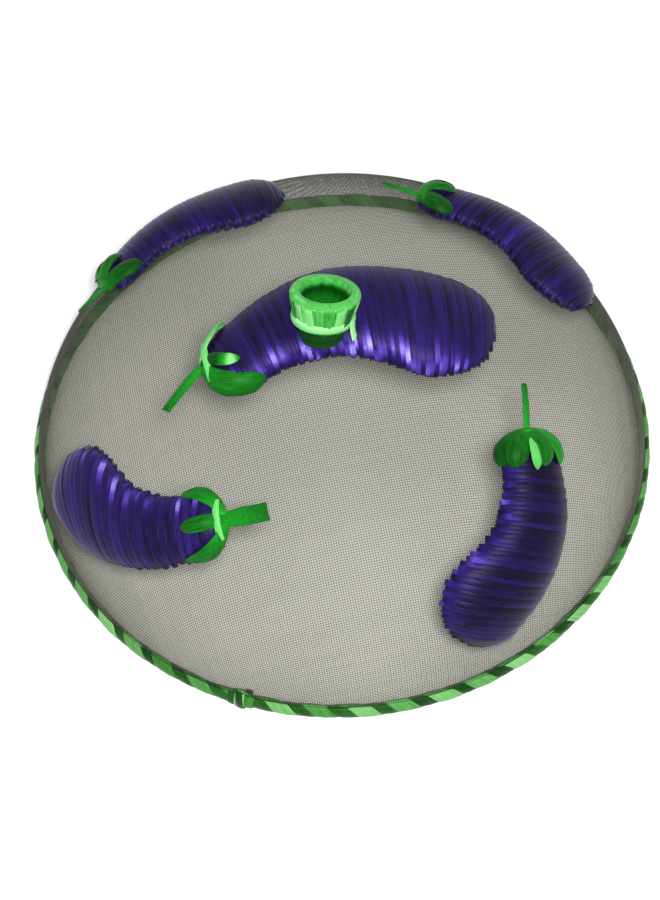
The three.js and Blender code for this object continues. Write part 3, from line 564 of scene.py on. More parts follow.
def ribbon_tree():
    """Sweeps an arched, creased ribbon section along each path of edges.

    Paths carry up, the way the ribbon faces, and half_width. The section is one half width wide
    to each side, and its other sizes are shares of that.
    """
    tree, inputs = new_tree("ribbon_sweep", {
        "Sides": 14, "Thickness": 0.1, "Arch": 0.15, "Crease": 0.03, "Creases": 2.0,
    })
    up, half = (
        add(tree, "GeometryNodeInputNamedAttribute", {"Name": label}, data_type=kind)
        for label, kind in (("up", "FLOAT_VECTOR"), ("half_width", "FLOAT"))
    )
    path = add(tree, "GeometryNodeMeshToCurve", {"Mesh": inputs["Geometry"]})
    faced = add(tree, "GeometryNodeSetCurveNormal", {
        "Curve": path, "Normal": up.outputs["Attribute"],
    }, mode="FREE")
    length = add(tree, "GeometryNodeSplineParameter").outputs["Length"]
    measured = add(tree, "GeometryNodeStoreNamedAttribute", {
        "Geometry": faced, "Name": "run", "Value": length,
    }, domain="POINT")
    circle = add(tree, "GeometryNodeCurvePrimitiveCircle", {
        "Resolution": inputs["Sides"], "Radius": 1.0,
    })
    axes = add(tree, "ShaderNodeSeparateXYZ", {
        "Vector": add(tree, "GeometryNodeInputPosition"),
    }).outputs
    # The section's circle is pressed flat, arched over its width, and given its creases
    known = {"x": axes["X"], "y": axes["Y"], **{socket.name: socket for socket in inputs}}
    for result, operation, *terms in (
        ("squared", "MULTIPLY", "y", "y"),
        ("fall", "SUBTRACT", 1.0, "squared"),
        ("arch", "MULTIPLY", "fall", "Arch"),
        ("thick", "MULTIPLY_ADD", "x", "Thickness", "arch"),
        ("phase", "MULTIPLY", "y", "Creases"),
        ("turned", "MULTIPLY", "phase", math.pi),
        ("wave", "COSINE", "turned"),
        ("height", "MULTIPLY_ADD", "wave", "Crease", "thick"),
    ):
        numbers = {place: known.get(term, term) for place, term in enumerate(terms)}
        known[result] = add(tree, "ShaderNodeMath", numbers, operation=operation)
    marked = add(tree, "GeometryNodeStoreNamedAttribute", {
        "Geometry": circle, "Name": "across", "Value": axes["Y"],
    }, domain="POINT")
    section = add(tree, "GeometryNodeSetPosition", {
        "Geometry": marked,
        "Position": add(tree, "ShaderNodeCombineXYZ", {"X": known["height"], "Y": axes["Y"]}),
    })
    swept = add(tree, "GeometryNodeCurveToMesh", {
        "Curve": measured, "Profile Curve": section, "Scale": half.outputs["Attribute"],
        "Fill Caps": True,
    })
    end_tree(tree, swept, inputs["Material"])
    return tree


def wire_tree():
    """Sweeps a round wire along each path of edges."""
    tree, inputs = new_tree("wire_sweep", {"Sides": 3, "Radius": 0.2 * MM})
    path = add(tree, "GeometryNodeMeshToCurve", {"Mesh": inputs["Geometry"]})
    section = add(tree, "GeometryNodeCurvePrimitiveCircle", {
        "Resolution": inputs["Sides"], "Radius": inputs["Radius"],
    })
    swept = add(tree, "GeometryNodeCurveToMesh", {
        "Curve": path, "Profile Curve": section, "Fill Caps": True,
    })
    end_tree(tree, swept, inputs["Material"])
    return tree


def path_mesh(name, runs):
    """Edges along each run of points, with the run's values at its points."""
    counts = [len(run["points"]) for run in runs]
    starts = np.cumsum([0, *counts[:-1]])
    edges = np.concatenate([
        np.stack([np.arange(count - 1), np.arange(1, count)], 1) + start
        for start, count in zip(starts, counts)
    ])
    mesh = bpy.data.meshes.new(name)
    mesh.vertices.add(sum(counts))
    mesh.vertices.foreach_set("co", np.concatenate([run["points"] for run in runs]).ravel())
    mesh.edges.add(len(edges))
    mesh.edges.foreach_set("vertices", edges.ravel().astype(np.int32))
    for label, kind, field, width in (
        ("up", "FLOAT_VECTOR", "vector", (3,)),
        ("half_width", "FLOAT", "value", ()),
        ("tone", "FLOAT", "value", ()),
    ):
        if label in runs[0]:
            values = [
                np.broadcast_to(run[label], (count, *width)) for run, count in zip(runs, counts)
            ]
            layer = mesh.attributes.new(label, kind, "POINT")
            layer.data.foreach_set(field, np.concatenate(values).astype(np.float32).ravel())
    return mesh


def place_object(name, data):
    """A new object in the scene."""
    thing = bpy.data.objects.new(name, data)
    bpy.context.scene.collection.objects.link(thing)
    return thing


def apply_tree(mesh, tree, material, values):
    """A piece that a tree makes from a mesh, as a plain mesh of its own."""
    piece = place_object(mesh.name, mesh)
    modifier = piece.modifiers.new("Shape", "NODES")
    modifier.node_group = tree
    wanted = {"Material": material, **values}
    for socket in tree.interface.items_tree:
        if socket.name in wanted:
            modifier[socket.identifier] = wanted[socket.name]
    graph = bpy.context.evaluated_depsgraph_get()
    piece.data = bpy.data.meshes.new_from_object(piece.evaluated_get(graph))
    piece.modifiers.clear()
    piece.data.name = piece.name
    bpy.data.meshes.remove(mesh)
    return piece


def settle(piece, node):
    """Fastens a piece to the body and hides the node it stands for."""
    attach(piece, "root")
    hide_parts(node)


def sweep(name, tree, runs, material, values, node):
    """Sweeps a piece along some runs, in a finish's slot and in place of a node."""
    settle(apply_tree(path_mesh(name, runs), tree, material, values), node)


def painted_piece(mesh, material, node):
    """A mesh as a piece of its own, in place of a node."""
    mesh.materials.append(material)
    piece = place_object(mesh.name, mesh)
    settle(piece, node)
    return piece


def repaint(node, material):
    """Gives a node that is shown as it is the material of its finish."""
    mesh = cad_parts[node].data
    mesh.materials.clear()
    mesh.materials.append(material)


# Woven mesh

def meridian_stops(pitch, lowest):
    """Places down the profile from the crown, each one pitch of wire from the last."""
    turn = np.linspace(0, math.pi / 2, 100001)
    power = 2 / DOME_FULLNESS
    # The profile runs on straight down past the rim
    below = np.linspace(0, lowest, 10001)[1:]
    straight = np.full(len(below), MESH_RADIUS)
    across = np.concatenate([MESH_RADIUS * np.sin(turn) ** power, straight])
    up = np.concatenate([DOME_HEIGHT * np.abs(np.cos(turn)) ** power, below])
    stops = [0]
    while up[stops[-1]] > lowest + pitch:
        here = stops[-1]
        reach = np.hypot(across[here:] - across[here], up[here:] - up[here])
        stops.append(here + int(np.argmax(reach >= pitch)))
    return across[stops], up[stops]


def weave_net(pitch, lowest):
    """Crossings of two sets of wires that keep one pitch along each wire, in one quarter."""
    across, up = meridian_stops(pitch, lowest)
    count = len(across)
    net = np.full((count, count, 3), np.nan)
    net[:, 0] = np.stack([across, np.zeros(count), up], 1)
    net[0, :] = np.stack([np.zeros(count), across, up], 1)
    for ring in range(2, 2 * count - 1):
        i = np.arange(max(1, ring - count + 1), min(count - 1, ring - 1) + 1)
        j = ring - i
        beside, behind, before = net[i - 1, j], net[i, j - 1], net[i - 1, j - 1]
        known = ~np.isnan(beside[:, 0] + behind[:, 0] + before[:, 0])
        if not known.any():
            break
        i, j = i[known], j[known]
        net[i, j] = fourth_corners(beside[known], behind[known], before[known], pitch, lowest)
    return net


def fourth_corners(beside, behind, before, pitch, lowest):
    """The crossings on the dome that are one pitch from two others, found by correction."""
    corner = beside + behind - before
    for _ in range(CORRECTIONS):
        first, second = corner - beside, corner - behind
        slope = DOME_FULLNESS * dome_slopes(corner)
        miss = np.stack([
            (first ** 2).sum(1) - pitch ** 2, (second ** 2).sum(1) - pitch ** 2,
            (dome_rule(corner) - 1) * pitch ** 2,
        ], 1)
        system = np.stack([2 * first, 2 * second, slope * pitch ** 2], 1)
        corner = corner - np.linalg.solve(system, miss[..., None])[..., 0]
    corner[corner[:, 2] < lowest] = np.nan
    return corner


def wire_runs(net, radius, cut, turn, warp):
    """Every wire of one set, over and under the other set in turn, cut at a height."""
    rows, side = (net, 1) if warp else (net.transpose(1, 0, 2), -1)
    mirror, flip = np.array([side, -side, 1]), np.array([-side, side, 1])
    spin = np.array(Matrix.Rotation(turn, 3, "Z"))
    runs = []
    for index in range(1 - len(rows), len(rows)):
        half = rows[abs(index)]
        half = half[~np.isnan(half[:, 0])]
        low = half[:, 2] < cut
        kept = int(np.argmax(low)) if low.any() else len(half)
        if kept < 2:
            continue
        inner = half[:kept]
        if kept < len(half):
            above, below = half[kept - 1], half[kept]
            share = (above[2] - cut) / (above[2] - below[2])
            inner = np.vstack([inner, above + (below - above) * share])
        points = np.vstack([(inner * mirror)[:0:-1], inner])
        if index < 0:
            points = points * flip
        order = np.arange(1 - len(inner), len(inner))
        over = np.where((order + index) % 2 == 0, side, -side)
        lift = over * radius - MESH_THICKNESS / 2
        runs.append({"points": (points + dome_normals(points) * lift[:, None]) @ spin.T})
    return runs


class FOODCOVER_OT_wire_mesh(bpy.types.Operator):
    """Weave the wire mesh dome"""

    bl_idname = "food_cover.wire_mesh"
    bl_label = "Wire mesh"

    def execute(self, context):
        sizes = context.scene.food_cover_wire_mesh
        steel = woven_steel_wire(sizes.tint)
        tree = wire_tree()
        net = weave_net(sizes.pitch, WEAVE_LOWEST)
        radius = sizes.wire / 2
        for name, warp in (("warp", True), ("weft", False)):
            runs = wire_runs(net, radius, HOOP_HEIGHT, sizes.turn, warp)
            for part in range(MESH_PARTS):
                sweep(f"mesh_{name}_{part + 1}", tree, runs[part::MESH_PARTS], steel,
                      {"Radius": radius}, "mesh_dome")
        return {"FINISHED"}


# Rim

def rim_patch(azimuth, slant, half_width, girth, lift):
    """One turn of ribbon round the hoop and the mesh's edge, as rows of points across it.

    The section is girth deep at the sides, and stands lift taller over the mesh's edge.
    """
    rows, columns = 31, 11
    turns, wide = np.meshgrid(np.linspace(0.02, 1.98, rows) * math.pi,
                              np.linspace(-1, 1, columns), indexing="ij")
    azimuths = azimuth + slant * (turns / FULL_TURN - 0.5) + wide * half_width / HOOP_RADIUS
    grids = []
    for inset in (0, RIM_RIBBON_THICKNESS):
        swell = RIM_ARCH * (1 - wide ** 2) + RIM_CREASE * np.cos(3 * math.pi * wide) - inset
        deep = girth + swell
        tall = np.where(np.cos(turns) > 0, girth + lift + swell, deep)
        across = HOOP_RADIUS + deep * np.sin(turns)
        up = np.maximum(HOOP_HEIGHT + tall * np.cos(turns), RIM_FOOT + inset)
        grids.append(np.stack([across * np.cos(azimuths), across * np.sin(azimuths), up], 2))
    # The last value is about the way along the ribbon
    return grids, wide, turns / math.pi * girth * 3


def patch_mesh(name, patches, tones=None):
    """Closed ribbons from outer and inner grids of points, with their across and run values."""
    points, faces, values = [], [], {"across": [], "run": [], "tone": []}
    for number, (grids, wide, run) in enumerate(patches):
        base = sum(len(block) for block in points)
        points += [grid.reshape(-1, 3) for grid in grids]
        values["across"] += [wide.ravel()] * 2
        values["run"] += [run.ravel()] * 2
        if tones:
            values["tone"] += [np.full(2 * wide.size, tones[number])]
        index = np.arange(wide.size).reshape(wide.shape) + base
        under = index + wide.size
        for row in range(len(wide) - 1):
            for column in range(len(wide[0]) - 1):
                here = (row, row + 1, row + 1, row), (column, column, column + 1, column + 1)
                faces += [index[here].tolist(), under[here].tolist()[::-1]]
        rim, low = (
            [*side[0], *side[1:, -1], *side[-1, -2::-1], *side[-2:0:-1, 0]]
            for side in (index, under)
        )
        for step in range(len(rim)):
            after = (step + 1) % len(rim)
            faces.append([int(rim[step]), int(rim[after]), int(low[after]), int(low[step])])
    mesh = smooth_mesh(name, np.vstack(points), faces)
    for label, blocks in values.items():
        if blocks:
            layer = mesh.attributes.new(label, "FLOAT", "POINT")
            layer.data.foreach_set("value", np.concatenate(blocks).astype(np.float32))
    solid = bmesh.new()
    solid.from_mesh(mesh)
    bmesh.ops.recalc_face_normals(solid, faces=solid.faces)
    solid.to_mesh(mesh)
    solid.free()
    return mesh


def smooth_mesh(name, points, faces):
    mesh = bpy.data.meshes.new(name)
    mesh.from_pydata(points.tolist(), [], faces)
    mesh.polygons.foreach_set("use_smooth", [True] * len(mesh.polygons))
    mesh.update()
    return mesh


def ring_tree():
    """Repeats a turn of ribbon round the Z axis, each a little out of place and tone."""
    tree, inputs = new_tree("ring_of_turns", {
        "Count": 50, "Jitter": 0.01, "Swell": 0.001, "Seed": 1, "Darkest": 0.2, "Lightest": 0.8,
    })
    points = add(tree, "GeometryNodePoints", {"Count": inputs["Count"]})
    index = add(tree, "GeometryNodeInputIndex")
    step = add(tree, "ShaderNodeMath", {0: FULL_TURN, 1: inputs["Count"]}, operation="DIVIDE")
    back = add(tree, "ShaderNodeMath", {0: inputs["Jitter"], 1: -1.0}, operation="MULTIPLY")
    least = add(tree, "ShaderNodeMath", {0: 1.0, 1: inputs["Swell"]}, operation="SUBTRACT")
    most = add(tree, "ShaderNodeMath", {0: 1.0, 1: inputs["Swell"]}, operation="ADD")
    jitter, swell, tone = (
        add(tree, "FunctionNodeRandomValue", {
            2: low, 3: high, "Seed": inputs["Seed"],
        }, data_type="FLOAT").outputs[1]
        for low, high in (
            (back, inputs["Jitter"]), (least, most), (inputs["Darkest"], inputs["Lightest"]),
        )
    )
    angle = add(tree, "ShaderNodeMath", {0: index, 1: step, 2: jitter}, operation="MULTIPLY_ADD")
    turn = add(tree, "FunctionNodeEulerToRotation", {
        "Euler": add(tree, "ShaderNodeCombineXYZ", {"Z": angle}),
    })
    turns = add(tree, "GeometryNodeInstanceOnPoints", {
        "Points": points, "Instance": inputs["Geometry"], "Rotation": turn,
        "Scale": add(tree, "ShaderNodeCombineXYZ", {"X": swell, "Y": swell, "Z": 1.0}),
    })
    # The two ribbons are nearer in tone at the back of the rim, where their painted light and shade
    # is weaker
    behind = add(tree, "ShaderNodeMath", {0: angle}, operation="SINE")
    back_share = add(tree, "ShaderNodeMapRange", {
        "Value": behind, "From Min": 0.1, "From Max": 0.7, "To Max": 0.65,
    })
    evened = add(tree, "ShaderNodeMix", {"Factor": back_share, 2: tone, 3: 0.42}, data_type="FLOAT")
    toned = add(tree, "GeometryNodeStoreNamedAttribute", {
        "Geometry": turns, "Name": "tone", "Value": evened,
    }, domain="INSTANCE")
    end_tree(tree, toned, inputs["Material"])
    return tree


class FOODCOVER_OT_rim(bpy.types.Operator):
    """Bind the rim with ribbon, and tie its knot"""

    bl_idname = "food_cover.rim"
    bl_label = "Bound rim"

    def execute(self, context):
        sizes = context.scene.food_cover_rim
        satin = satin_ribbon("rim_satin", *RIM, roughness=0.4)
        tree = ring_tree()
        pitch = FULL_TURN / sizes.turns
        half_width = sizes.ribbon_width / 2
        # Place between two turns, girth, darkest and lightest tone, and seed. Both are the same
        # satin: the darker tones of the ribbon under are painted shade, and the lighter tones of the
        # ribbon over are painted light
        for name, shift, girth, darkest, lightest, seed in (
            ("under", 0.5, 2.75 * MM, 0.0, 0.16, 3),
            ("over", 0.0, 3.0 * MM, 0.42, 0.85, 8),
        ):
            patch = rim_patch(pitch * shift, pitch, half_width, girth, RIM_LIFT)
            mesh = patch_mesh(f"rim_ribbon_{name}", [patch])
            # The turns are a little out of place, and swell by about a fifth of a millimetre
            values = {"Count": sizes.turns, "Jitter": 0.08 * pitch, "Swell": 0.0012, "Seed": seed,
                      "Darkest": darkest, "Lightest": lightest}
            settle(apply_tree(mesh, tree, satin, values), "rim_binding")
        self.tie_knot(satin)
        repaint("rim_hoop", drawn_steel_wire())
        return {"FINISHED"}

    def tie_knot(self, satin):
        """Close short turns of ribbon over one another where the rim's ribbon ends."""
        azimuth = math.radians(KNOT_AZIMUTH)
        turns = (
            # Place along the rim, slant, half width, girth and lift in mm, and tone
            (-3.6, 0.010, 2.4, 3.7, 1.6, 0.12),
            (3.9, -0.014, 2.6, 3.6, 1.8, 0.45),
            (0.3, 0.006, 2.7, 4.4, 2.6, 0.8),
            (2.0, 0.03, 1.9, 4.7, 4.0, 0.02),
        )
        patches = [
            rim_patch(azimuth + place * MM / HOOP_RADIUS, slant, half * MM, girth * MM, lift * MM)
            for place, slant, half, girth, lift, _ in turns
        ]
        mesh = patch_mesh("rim_knot_ribbon", patches, [row[-1] for row in turns])
        painted_piece(mesh, satin, "rim_knot")


# Aubergines

def smoothstep(share, low, high):
    eased = np.clip((share - low) / (high - low), 0, 1)
    return eased * eased * (3 - 2 * eased)


def rounded_end(share, round_share):
    inward = np.clip(share / round_share, 0, 1)
    return np.sqrt(1 - (1 - inward) ** 2)


def row_at(shares, values):
    """Values between those of a row, at shares of the row's length."""
    return np.interp(shares, np.linspace(0, 1, len(values)), values)


def spline_points(places, count):
    """Points of a smooth curve through some places, however unevenly those are spaced."""
    ends = [2 * places[0] - places[1], *places, 2 * places[-1] - places[-2]]
    points = []
    for stretch in range(len(places) - 1):
        before, start, end, after = ends[stretch:stretch + 4]
        first, middle, last = (
            np.linalg.norm(b - a) ** 0.5 for a, b in ((before, start), (start, end), (end, after))
        )
        chord = (end - start) / middle
        leave = ((start - before) / first - (end - before) / (first + middle) + chord) * middle
        reach = (chord - (after - start) / (middle + last) + (after - end) / last) * middle
        for t in np.linspace(0, 1, count, endpoint=stretch == len(places) - 2):
            cubic = 2 * start - 2 * end + leave + reach
            square = -3 * start + 3 * end - 2 * leave - reach
            points.append(start + leave * t + square * t ** 2 + cubic * t ** 3)
    return np.array(points)


class Body:
    """One aubergine: the curved line on the mesh that it follows, and its size along it."""

    def __init__(self, row):
        self.row = row
        self.size = row["size"]
        angle = math.radians(row["azimuth"])
        radius = MESH_RADIUS * row["radius_share"]
        middle = dome_at(radius * math.cos(angle), radius * math.sin(angle))
        normal = Vector(dome_normals(np.array([middle]))[0])
        around = Vector((-math.sin(angle), math.cos(angle), 0))
        forward = Matrix.Rotation(math.radians(row["heading"]), 3, normal) @ around
        ways = np.array([forward, normal.cross(forward)]) * self.size["length"]
        shares = np.stack([self.size["along_shares"], self.size["across_shares"]], 1)
        places = over_dome(np.array(middle) + shares @ ways, 0)
        self.line = spline_points(list(places), LINE_POINTS)
        steps = np.linalg.norm(np.diff(self.line, axis=0), axis=1)
        reach = np.concatenate([[0], np.cumsum(steps)])
        self.length = reach[-1]
        self.shares = reach / self.length
        self.ways = unit(np.gradient(self.line, axis=0))

    def at(self, shares):
        """Places, forward and sideways directions on the line, which runs on past its ends."""
        shares = np.atleast_1d(np.asarray(shares, float))
        inside = np.clip(shares, 0, 1)
        place, way = (
            np.stack([np.interp(inside, self.shares, values[:, axis]) for axis in range(3)], 1)
            for values in (self.line, self.ways)
        )
        way = unit(way)
        place = place + way * ((shares - inside) * self.length)[:, None]
        return place, way, unit(np.cross(dome_normals(place), way))

    def locate(self, points):
        """Share of the length nearest to each point, and the distance to its side."""
        gaps = np.linalg.norm(points[:, None] - self.line[None], axis=2)
        nearest = gaps.argmin(1)
        shares = self.shares[nearest]
        _, way, sideways = self.at(shares)
        away = points - self.line[nearest]
        shares = shares + (away * way).sum(1) / self.length
        return shares, (away * sideways).sum(1)

    def half_width(self, shares):
        inside = np.clip(shares, 0, 1)
        size = self.size
        bulb = 1 - smoothstep(inside, *BULB_FADE_SHARES)
        middle = 1 - smoothstep(inside, *NECK_FADE_SHARES)
        swell = middle * (size["middle_width"] - size["neck_width"])
        bulge = bulb * (size["bulb_width"] - size["middle_width"])
        return self.ends(inside) * (size["neck_width"] + swell + bulge) / 2

    def crest(self, shares):
        inside = np.clip(shares, 0, 1)
        size = self.size
        middle = 1 - smoothstep(inside, *NECK_FADE_SHARES)
        swell = middle * (size["bulb_height"] - size["neck_height"])
        return self.ends(inside) * (size["neck_height"] + swell)

    def ends(self, shares):
        return rounded_end(shares, BULB_ROUND_SHARE) * rounded_end(1 - shares, NECK_ROUND_SHARE)

    def skin(self, shares, turns, grown):
        """Points of the padded body: turn 0 and a half turn are its two edges on the mesh."""
        place, _, sideways = self.at(shares)
        reach = np.maximum(self.half_width(shares) + grown, 0)
        rise = np.maximum(self.crest(shares) + grown, 0)
        edge = place + sideways * (reach * np.cos(turns))[:, None]
        return over_dome(edge, TOUCH_GAP + rise * np.sin(turns))

    def fill(self, points):
        """How far inside the outline each point is: 1 on the line, 0 at the edge and beyond."""
        shares, aside = self.locate(points)
        within = (shares >= 0) & (shares <= 1)
        half = np.maximum(self.half_width(shares), 1e-6)
        inside = np.sqrt(np.clip(1 - (aside / half) ** 2, 0, 1))
        return np.where(within, inside, 0), shares


def strand_way(body, along):
    """The place and direction along the mesh of the strand that crosses the body there."""
    place = body.at(along)[0][0]
    normal = dome_normals(place[None])[0]
    heading = math.radians(np.interp(along, (0, 1), body.row["strand_headings"]))
    plan = np.array([math.cos(heading), math.sin(heading)])
    way = np.append(plan, -normal[:2].dot(plan) / normal[2])
    return place, normal, way / np.linalg.norm(way)


def strand_run(body, along, width, overshoot, tilt, tone):
    """One strand of ribbon from the mesh over the padding to the mesh again."""
    place, normal, way = strand_way(body, along)
    beside = np.cross(way, normal)
    # The body is looked for 45 mm to each side, every half millimetre. A strand that would cross
    # less than 4 mm of it isn't worked
    reach = np.linspace(-45, 45, 181) * MM
    inside = body.fill(over_dome(place + way * reach[:, None], 0))[0] > 0
    if inside.sum() < 8:
        return None
    first = int(np.argmax(inside))
    last = len(inside) - 1 - int(np.argmax(inside[::-1]))
    start, end = reach[first] - overshoot[0], reach[last] + overshoot[1]
    turns = np.linspace(0, math.pi, STRAND_POINTS)
    swing = (1 - np.cos(turns)) / 2
    feet = place + way * (start + (end - start) * swing)[:, None]

    def lifted(points):
        # Mostly as the padding is crowned under it, and a little as a ribbon that is pulled tight
        filled, shares = body.fill(over_dome(points, 0))
        arch = np.sqrt(np.clip(1 - (2 * swing - 1) ** 2, 0, 1))
        shape = 0.65 * filled + 0.35 * arch * (filled.max() if filled.max() > 0 else 1)
        return over_dome(points, TOUCH_GAP + body.crest(shares) * shape - STRAND_PULL)

    path = lifted(feet)
    path[[0, -1]] = over_dome(feet[[0, -1]], -STRAND_ENDS_UNDER)
    step = 1.2 * MM
    wide_way = lifted(feet - beside * step) - lifted(feet + beside * step)
    wide_way[[0, -1]] = wide_way[[1, -2]]
    run_way = np.gradient(path, axis=0)
    up = unit(np.cross(run_way, wide_way))
    up = np.where((up * dome_normals(path)).sum(1)[:, None] < -0.3, -up, up)
    wide_way = unit(np.cross(up, unit(run_way)))
    up = unit(up * math.cos(tilt) + wide_way * math.sin(tilt))
    # The ribbon is drawn narrow where it goes through the mesh
    narrowing = STRAND_END_WIDTH + (1 - STRAND_END_WIDTH) * np.sin(turns) ** 0.6
    return {
        "points": path, "up": up, "half_width": width / 2 * narrowing,
        "tone": row_at(np.linspace(0, 1, STRAND_POINTS), tone),
    }


def strand_runs(body, sizes):
    """The strands side by side over the body, uneven in width and in how far each one reaches."""
    row = body.row
    draw = random.Random(row["seed"])
    along = STRANDS_FROM
    runs = []
    index = 0
    while along < STRANDS_TO:
        share = min(max(along, 0), 1)
        sideways = body.at(share)[2][0]
        lean = abs(float(strand_way(body, share)[2] @ sideways))
        width = draw.uniform(0.8, 1.25)
        tooth = (index % 2) * STRAND_TOOTH
        overshoot = [tooth + draw.uniform(-0.3, 0.8) * MM for _ in range(2)]
        dull = draw.triangular(0.0, 0.4, 0.14) - row["dullness"]
        tone = np.array([dull + draw.uniform(-0.06, 0.08) for _ in range(STRAND_TONES)])
        if draw.random() < 0.05:
            tone = tone + draw.uniform(0.0, 0.22)
        # Painted highlights in patches along the strands, brighter on one flank of the body than on
        # the other
        for end, shine in enumerate(row["painted_flank_highlight"]):
            away = np.abs(np.linspace(0, 1, STRAND_TONES) - end)
            patch = np.exp(-((away - draw.uniform(0.2, 1) * row["flank_reach"]) / 0.11) ** 2)
            tone = tone + shine * smoothstep(share, 0, 0.15) * draw.uniform(0.3, 1.25) * patch
        tilt = math.radians(draw.uniform(-7, 7))
        run = strand_run(body, along, width * sizes.strand_width, overshoot, tilt, tone)
        if run:
            runs.append(run)
        index += 1
        along += width * sizes.strand_pitch / max(lean, 0.4) / body.length
    return runs


def back_runs(strands, width):
    """The ribbon's way back under the mesh, from the end of a strand to the start of the next."""
    runs = []
    for here, after in zip(strands, strands[1:]):
        start, end = here["points"][-1], after["points"][0]
        share = np.linspace(0, 1, 12)[:, None]
        points = over_dome(start + (end - start) * share, -BACK_RIBBON_DEPTH)
        runs.append({
            "points": points, "up": -dome_normals(points), "half_width": width / 2,
            "tone": here["tone"][-1],
        })
    return runs


def wadding_mesh(body, name):
    """The closed pad under the strands: crowned above, and flat along the mesh below."""
    rings = []
    # The rings stand closer together at both ends
    swing = 0.5 - 0.5 * np.cos(np.linspace(0, math.pi, 40))
    turns = np.linspace(0, math.pi, 17)
    for share in np.interp(swing, (0, 1), PAD_ENDS):
        top = body.skin(np.full(17, share), turns, -PAD_INSET)
        place, _, sideways = body.at(share)
        reach = max(float(body.half_width(share)) - PAD_INSET, 0)
        across = np.linspace(-reach, reach, 13)[1:-1]
        rings += [top, over_dome(place + sideways * across[:, None], PAD_LIFT)]
    size = len(rings[0]) + len(rings[1])
    last = size * (len(swing) - 1)
    faces = [tuple(range(size)), tuple(last + k for k in reversed(range(size)))]
    for here in range(0, last, size):
        for step in range(size):
            after = (step + 1) % size
            faces.append((here + step, here + size + step, here + size + after, here + after))
    return smooth_mesh(name, np.vstack(rings), faces)


def leaf_run(body, leaf, lift, width):
    """One leaf of the calyx, from the stem's root back over the neck."""
    root_turn, tip_turn, length_share, width_share, tone = leaf
    t = np.linspace(0, 1, 17)
    length = body.size["calyx_length"] * length_share
    shares = 0.995 - length / body.length * t ** 1.1
    turns = np.radians(root_turn + (tip_turn - root_turn) * t ** 0.8)
    grown = 0.7 * MM + lift * (1 - abs(2 * t - 1) ** 2.5)
    points, beside = (body.skin(shares, turns + aside, grown) for aside in (0, 0.12))
    beside = beside - points
    beside[0] = beside[1]
    up = unit(np.cross(np.gradient(points, axis=0), beside))
    facing = np.sign((up * dome_normals(points)).sum(1))[:, None]
    up = up * np.where(facing == 0, 1, facing)
    # Widest near the middle, and nearly pointed at the tip
    spread = np.interp(t, (0, 0.12, 0.45, 0.8, 0.94, 1), (0.6, 0.8, 1.0, 0.85, 0.5, 0.12))
    return {
        "points": points, "up": up, "half_width": width * width_share / 2 * spread,
        "tone": row_at(t, np.atleast_1d(tone)) + 0.3 * (1 - t) ** 4,
    }


def neck_band_run(body):
    """A band of ribbon over the neck, across the roots of the leaves."""
    angles = np.radians(np.linspace(40, 140, 13))
    points = body.skin(np.full(13, NECK_BAND_SHARE), angles, NECK_BAND_HEIGHT)
    up = unit(points - body.at(NECK_BAND_SHARE)[0] + dome_normals(points) * MM)
    return {
        "points": points, "up": up, "half_width": NECK_BAND_WIDTH / 2,
        "tone": body.row["band_tone"],
    }


def stem_run(body):
    """The ribbon stem, twisting as it rises off the mesh to its free tip."""
    row = body.row
    place, forward, sideways = (value[0] for value in body.at(1.0))
    normal = Vector(dome_normals(place[None])[0])
    turn = Matrix.Rotation(math.radians(row["stem_turn"]), 3, normal)
    away = np.array(turn @ Vector(forward))
    share = np.linspace(-0.12, 1, 14)
    reach = share * row["stem_length_share"] * STEM_LENGTH
    centre = place + forward * TOUCH_GAP + away * reach[:, None]
    points = over_dome(centre, STEM_ROOT_HEIGHT + STEM_RISE * share)
    spin = np.radians(STEM_TWIST) * share
    up = dome_normals(points) * np.cos(spin)[:, None] - sideways * np.sin(spin)[:, None]
    half = row["stem_width_share"] * STEM_WIDTH / 2 * np.interp(share, (0, 0.3, 1), (1, 1.25, 1.2))
    tone = np.linspace(0.45, 0.12, len(share))
    return {"points": points, "up": unit(up), "half_width": half, "tone": tone}


class FOODCOVER_OT_aubergines(bpy.types.Operator):
    """Work the five aubergines in ribbon over their padding"""

    bl_idname = "food_cover.aubergines"
    bl_label = "Aubergines"

    def execute(self, context):
        sizes = context.scene.food_cover_aubergines
        tree = ribbon_tree()
        purple = satin_ribbon("purple_satin", *PURPLE)
        green = satin_ribbon("leaf_satin", *LEAF, roughness=0.46)
        felt = needled_felt()
        for row in AUBERGINES:
            body = Body(row)
            name = f"{row['name']}_aubergine"
            strands = strand_runs(body, sizes)
            sweep(f"{name}_strands", tree, strands, purple, STRAND_SECTION,
                  f"{name}_winding")
            backs = back_runs(strands, BACK_RIBBON_WIDTH * sizes.strand_width)
            sweep(f"{name}_back_ribbons", tree, backs, purple, {"Sides": 8, **STRAND_SECTION},
                  f"{name}_back_stitches")
            wadding = wadding_mesh(body, f"{name}_wadding")
            painted_piece(wadding, felt, f"{name}_padding")
            leaves = [
                leaf_run(body, leaf, LEAF_LIFT + LEAF_STEP * place, sizes.leaf_width)
                for place, leaf in enumerate(row["leaves"])
            ]
            leaves.append(neck_band_run(body))
            sweep(f"{name}_leaves", tree, leaves, green, LEAF_SECTION,
                  f"{name}_calyx")
            sweep(f"{name}_stem_ribbon", tree, [stem_run(body)], green, STEM_SECTION,
                  f"{name}_stem")
        return {"FINISHED"}


# Ring grip

def grip_matrix():
    """The grip's own frame: the foot of its ring is level, centred on the origin."""
    foot = dome_at(*(share * MESH_RADIUS for share in GRIP_PLACE_SHARES))
    back = Matrix.Rotation(math.radians(-GRIP_LEAN_BACK), 4, "X")
    right = Matrix.Rotation(math.radians(GRIP_LEAN_RIGHT), 4, "Y")
    place = Matrix.Translation(foot + Vector((0, 0, GRIP_SEAT_LIFT)))
    return place @ back @ right


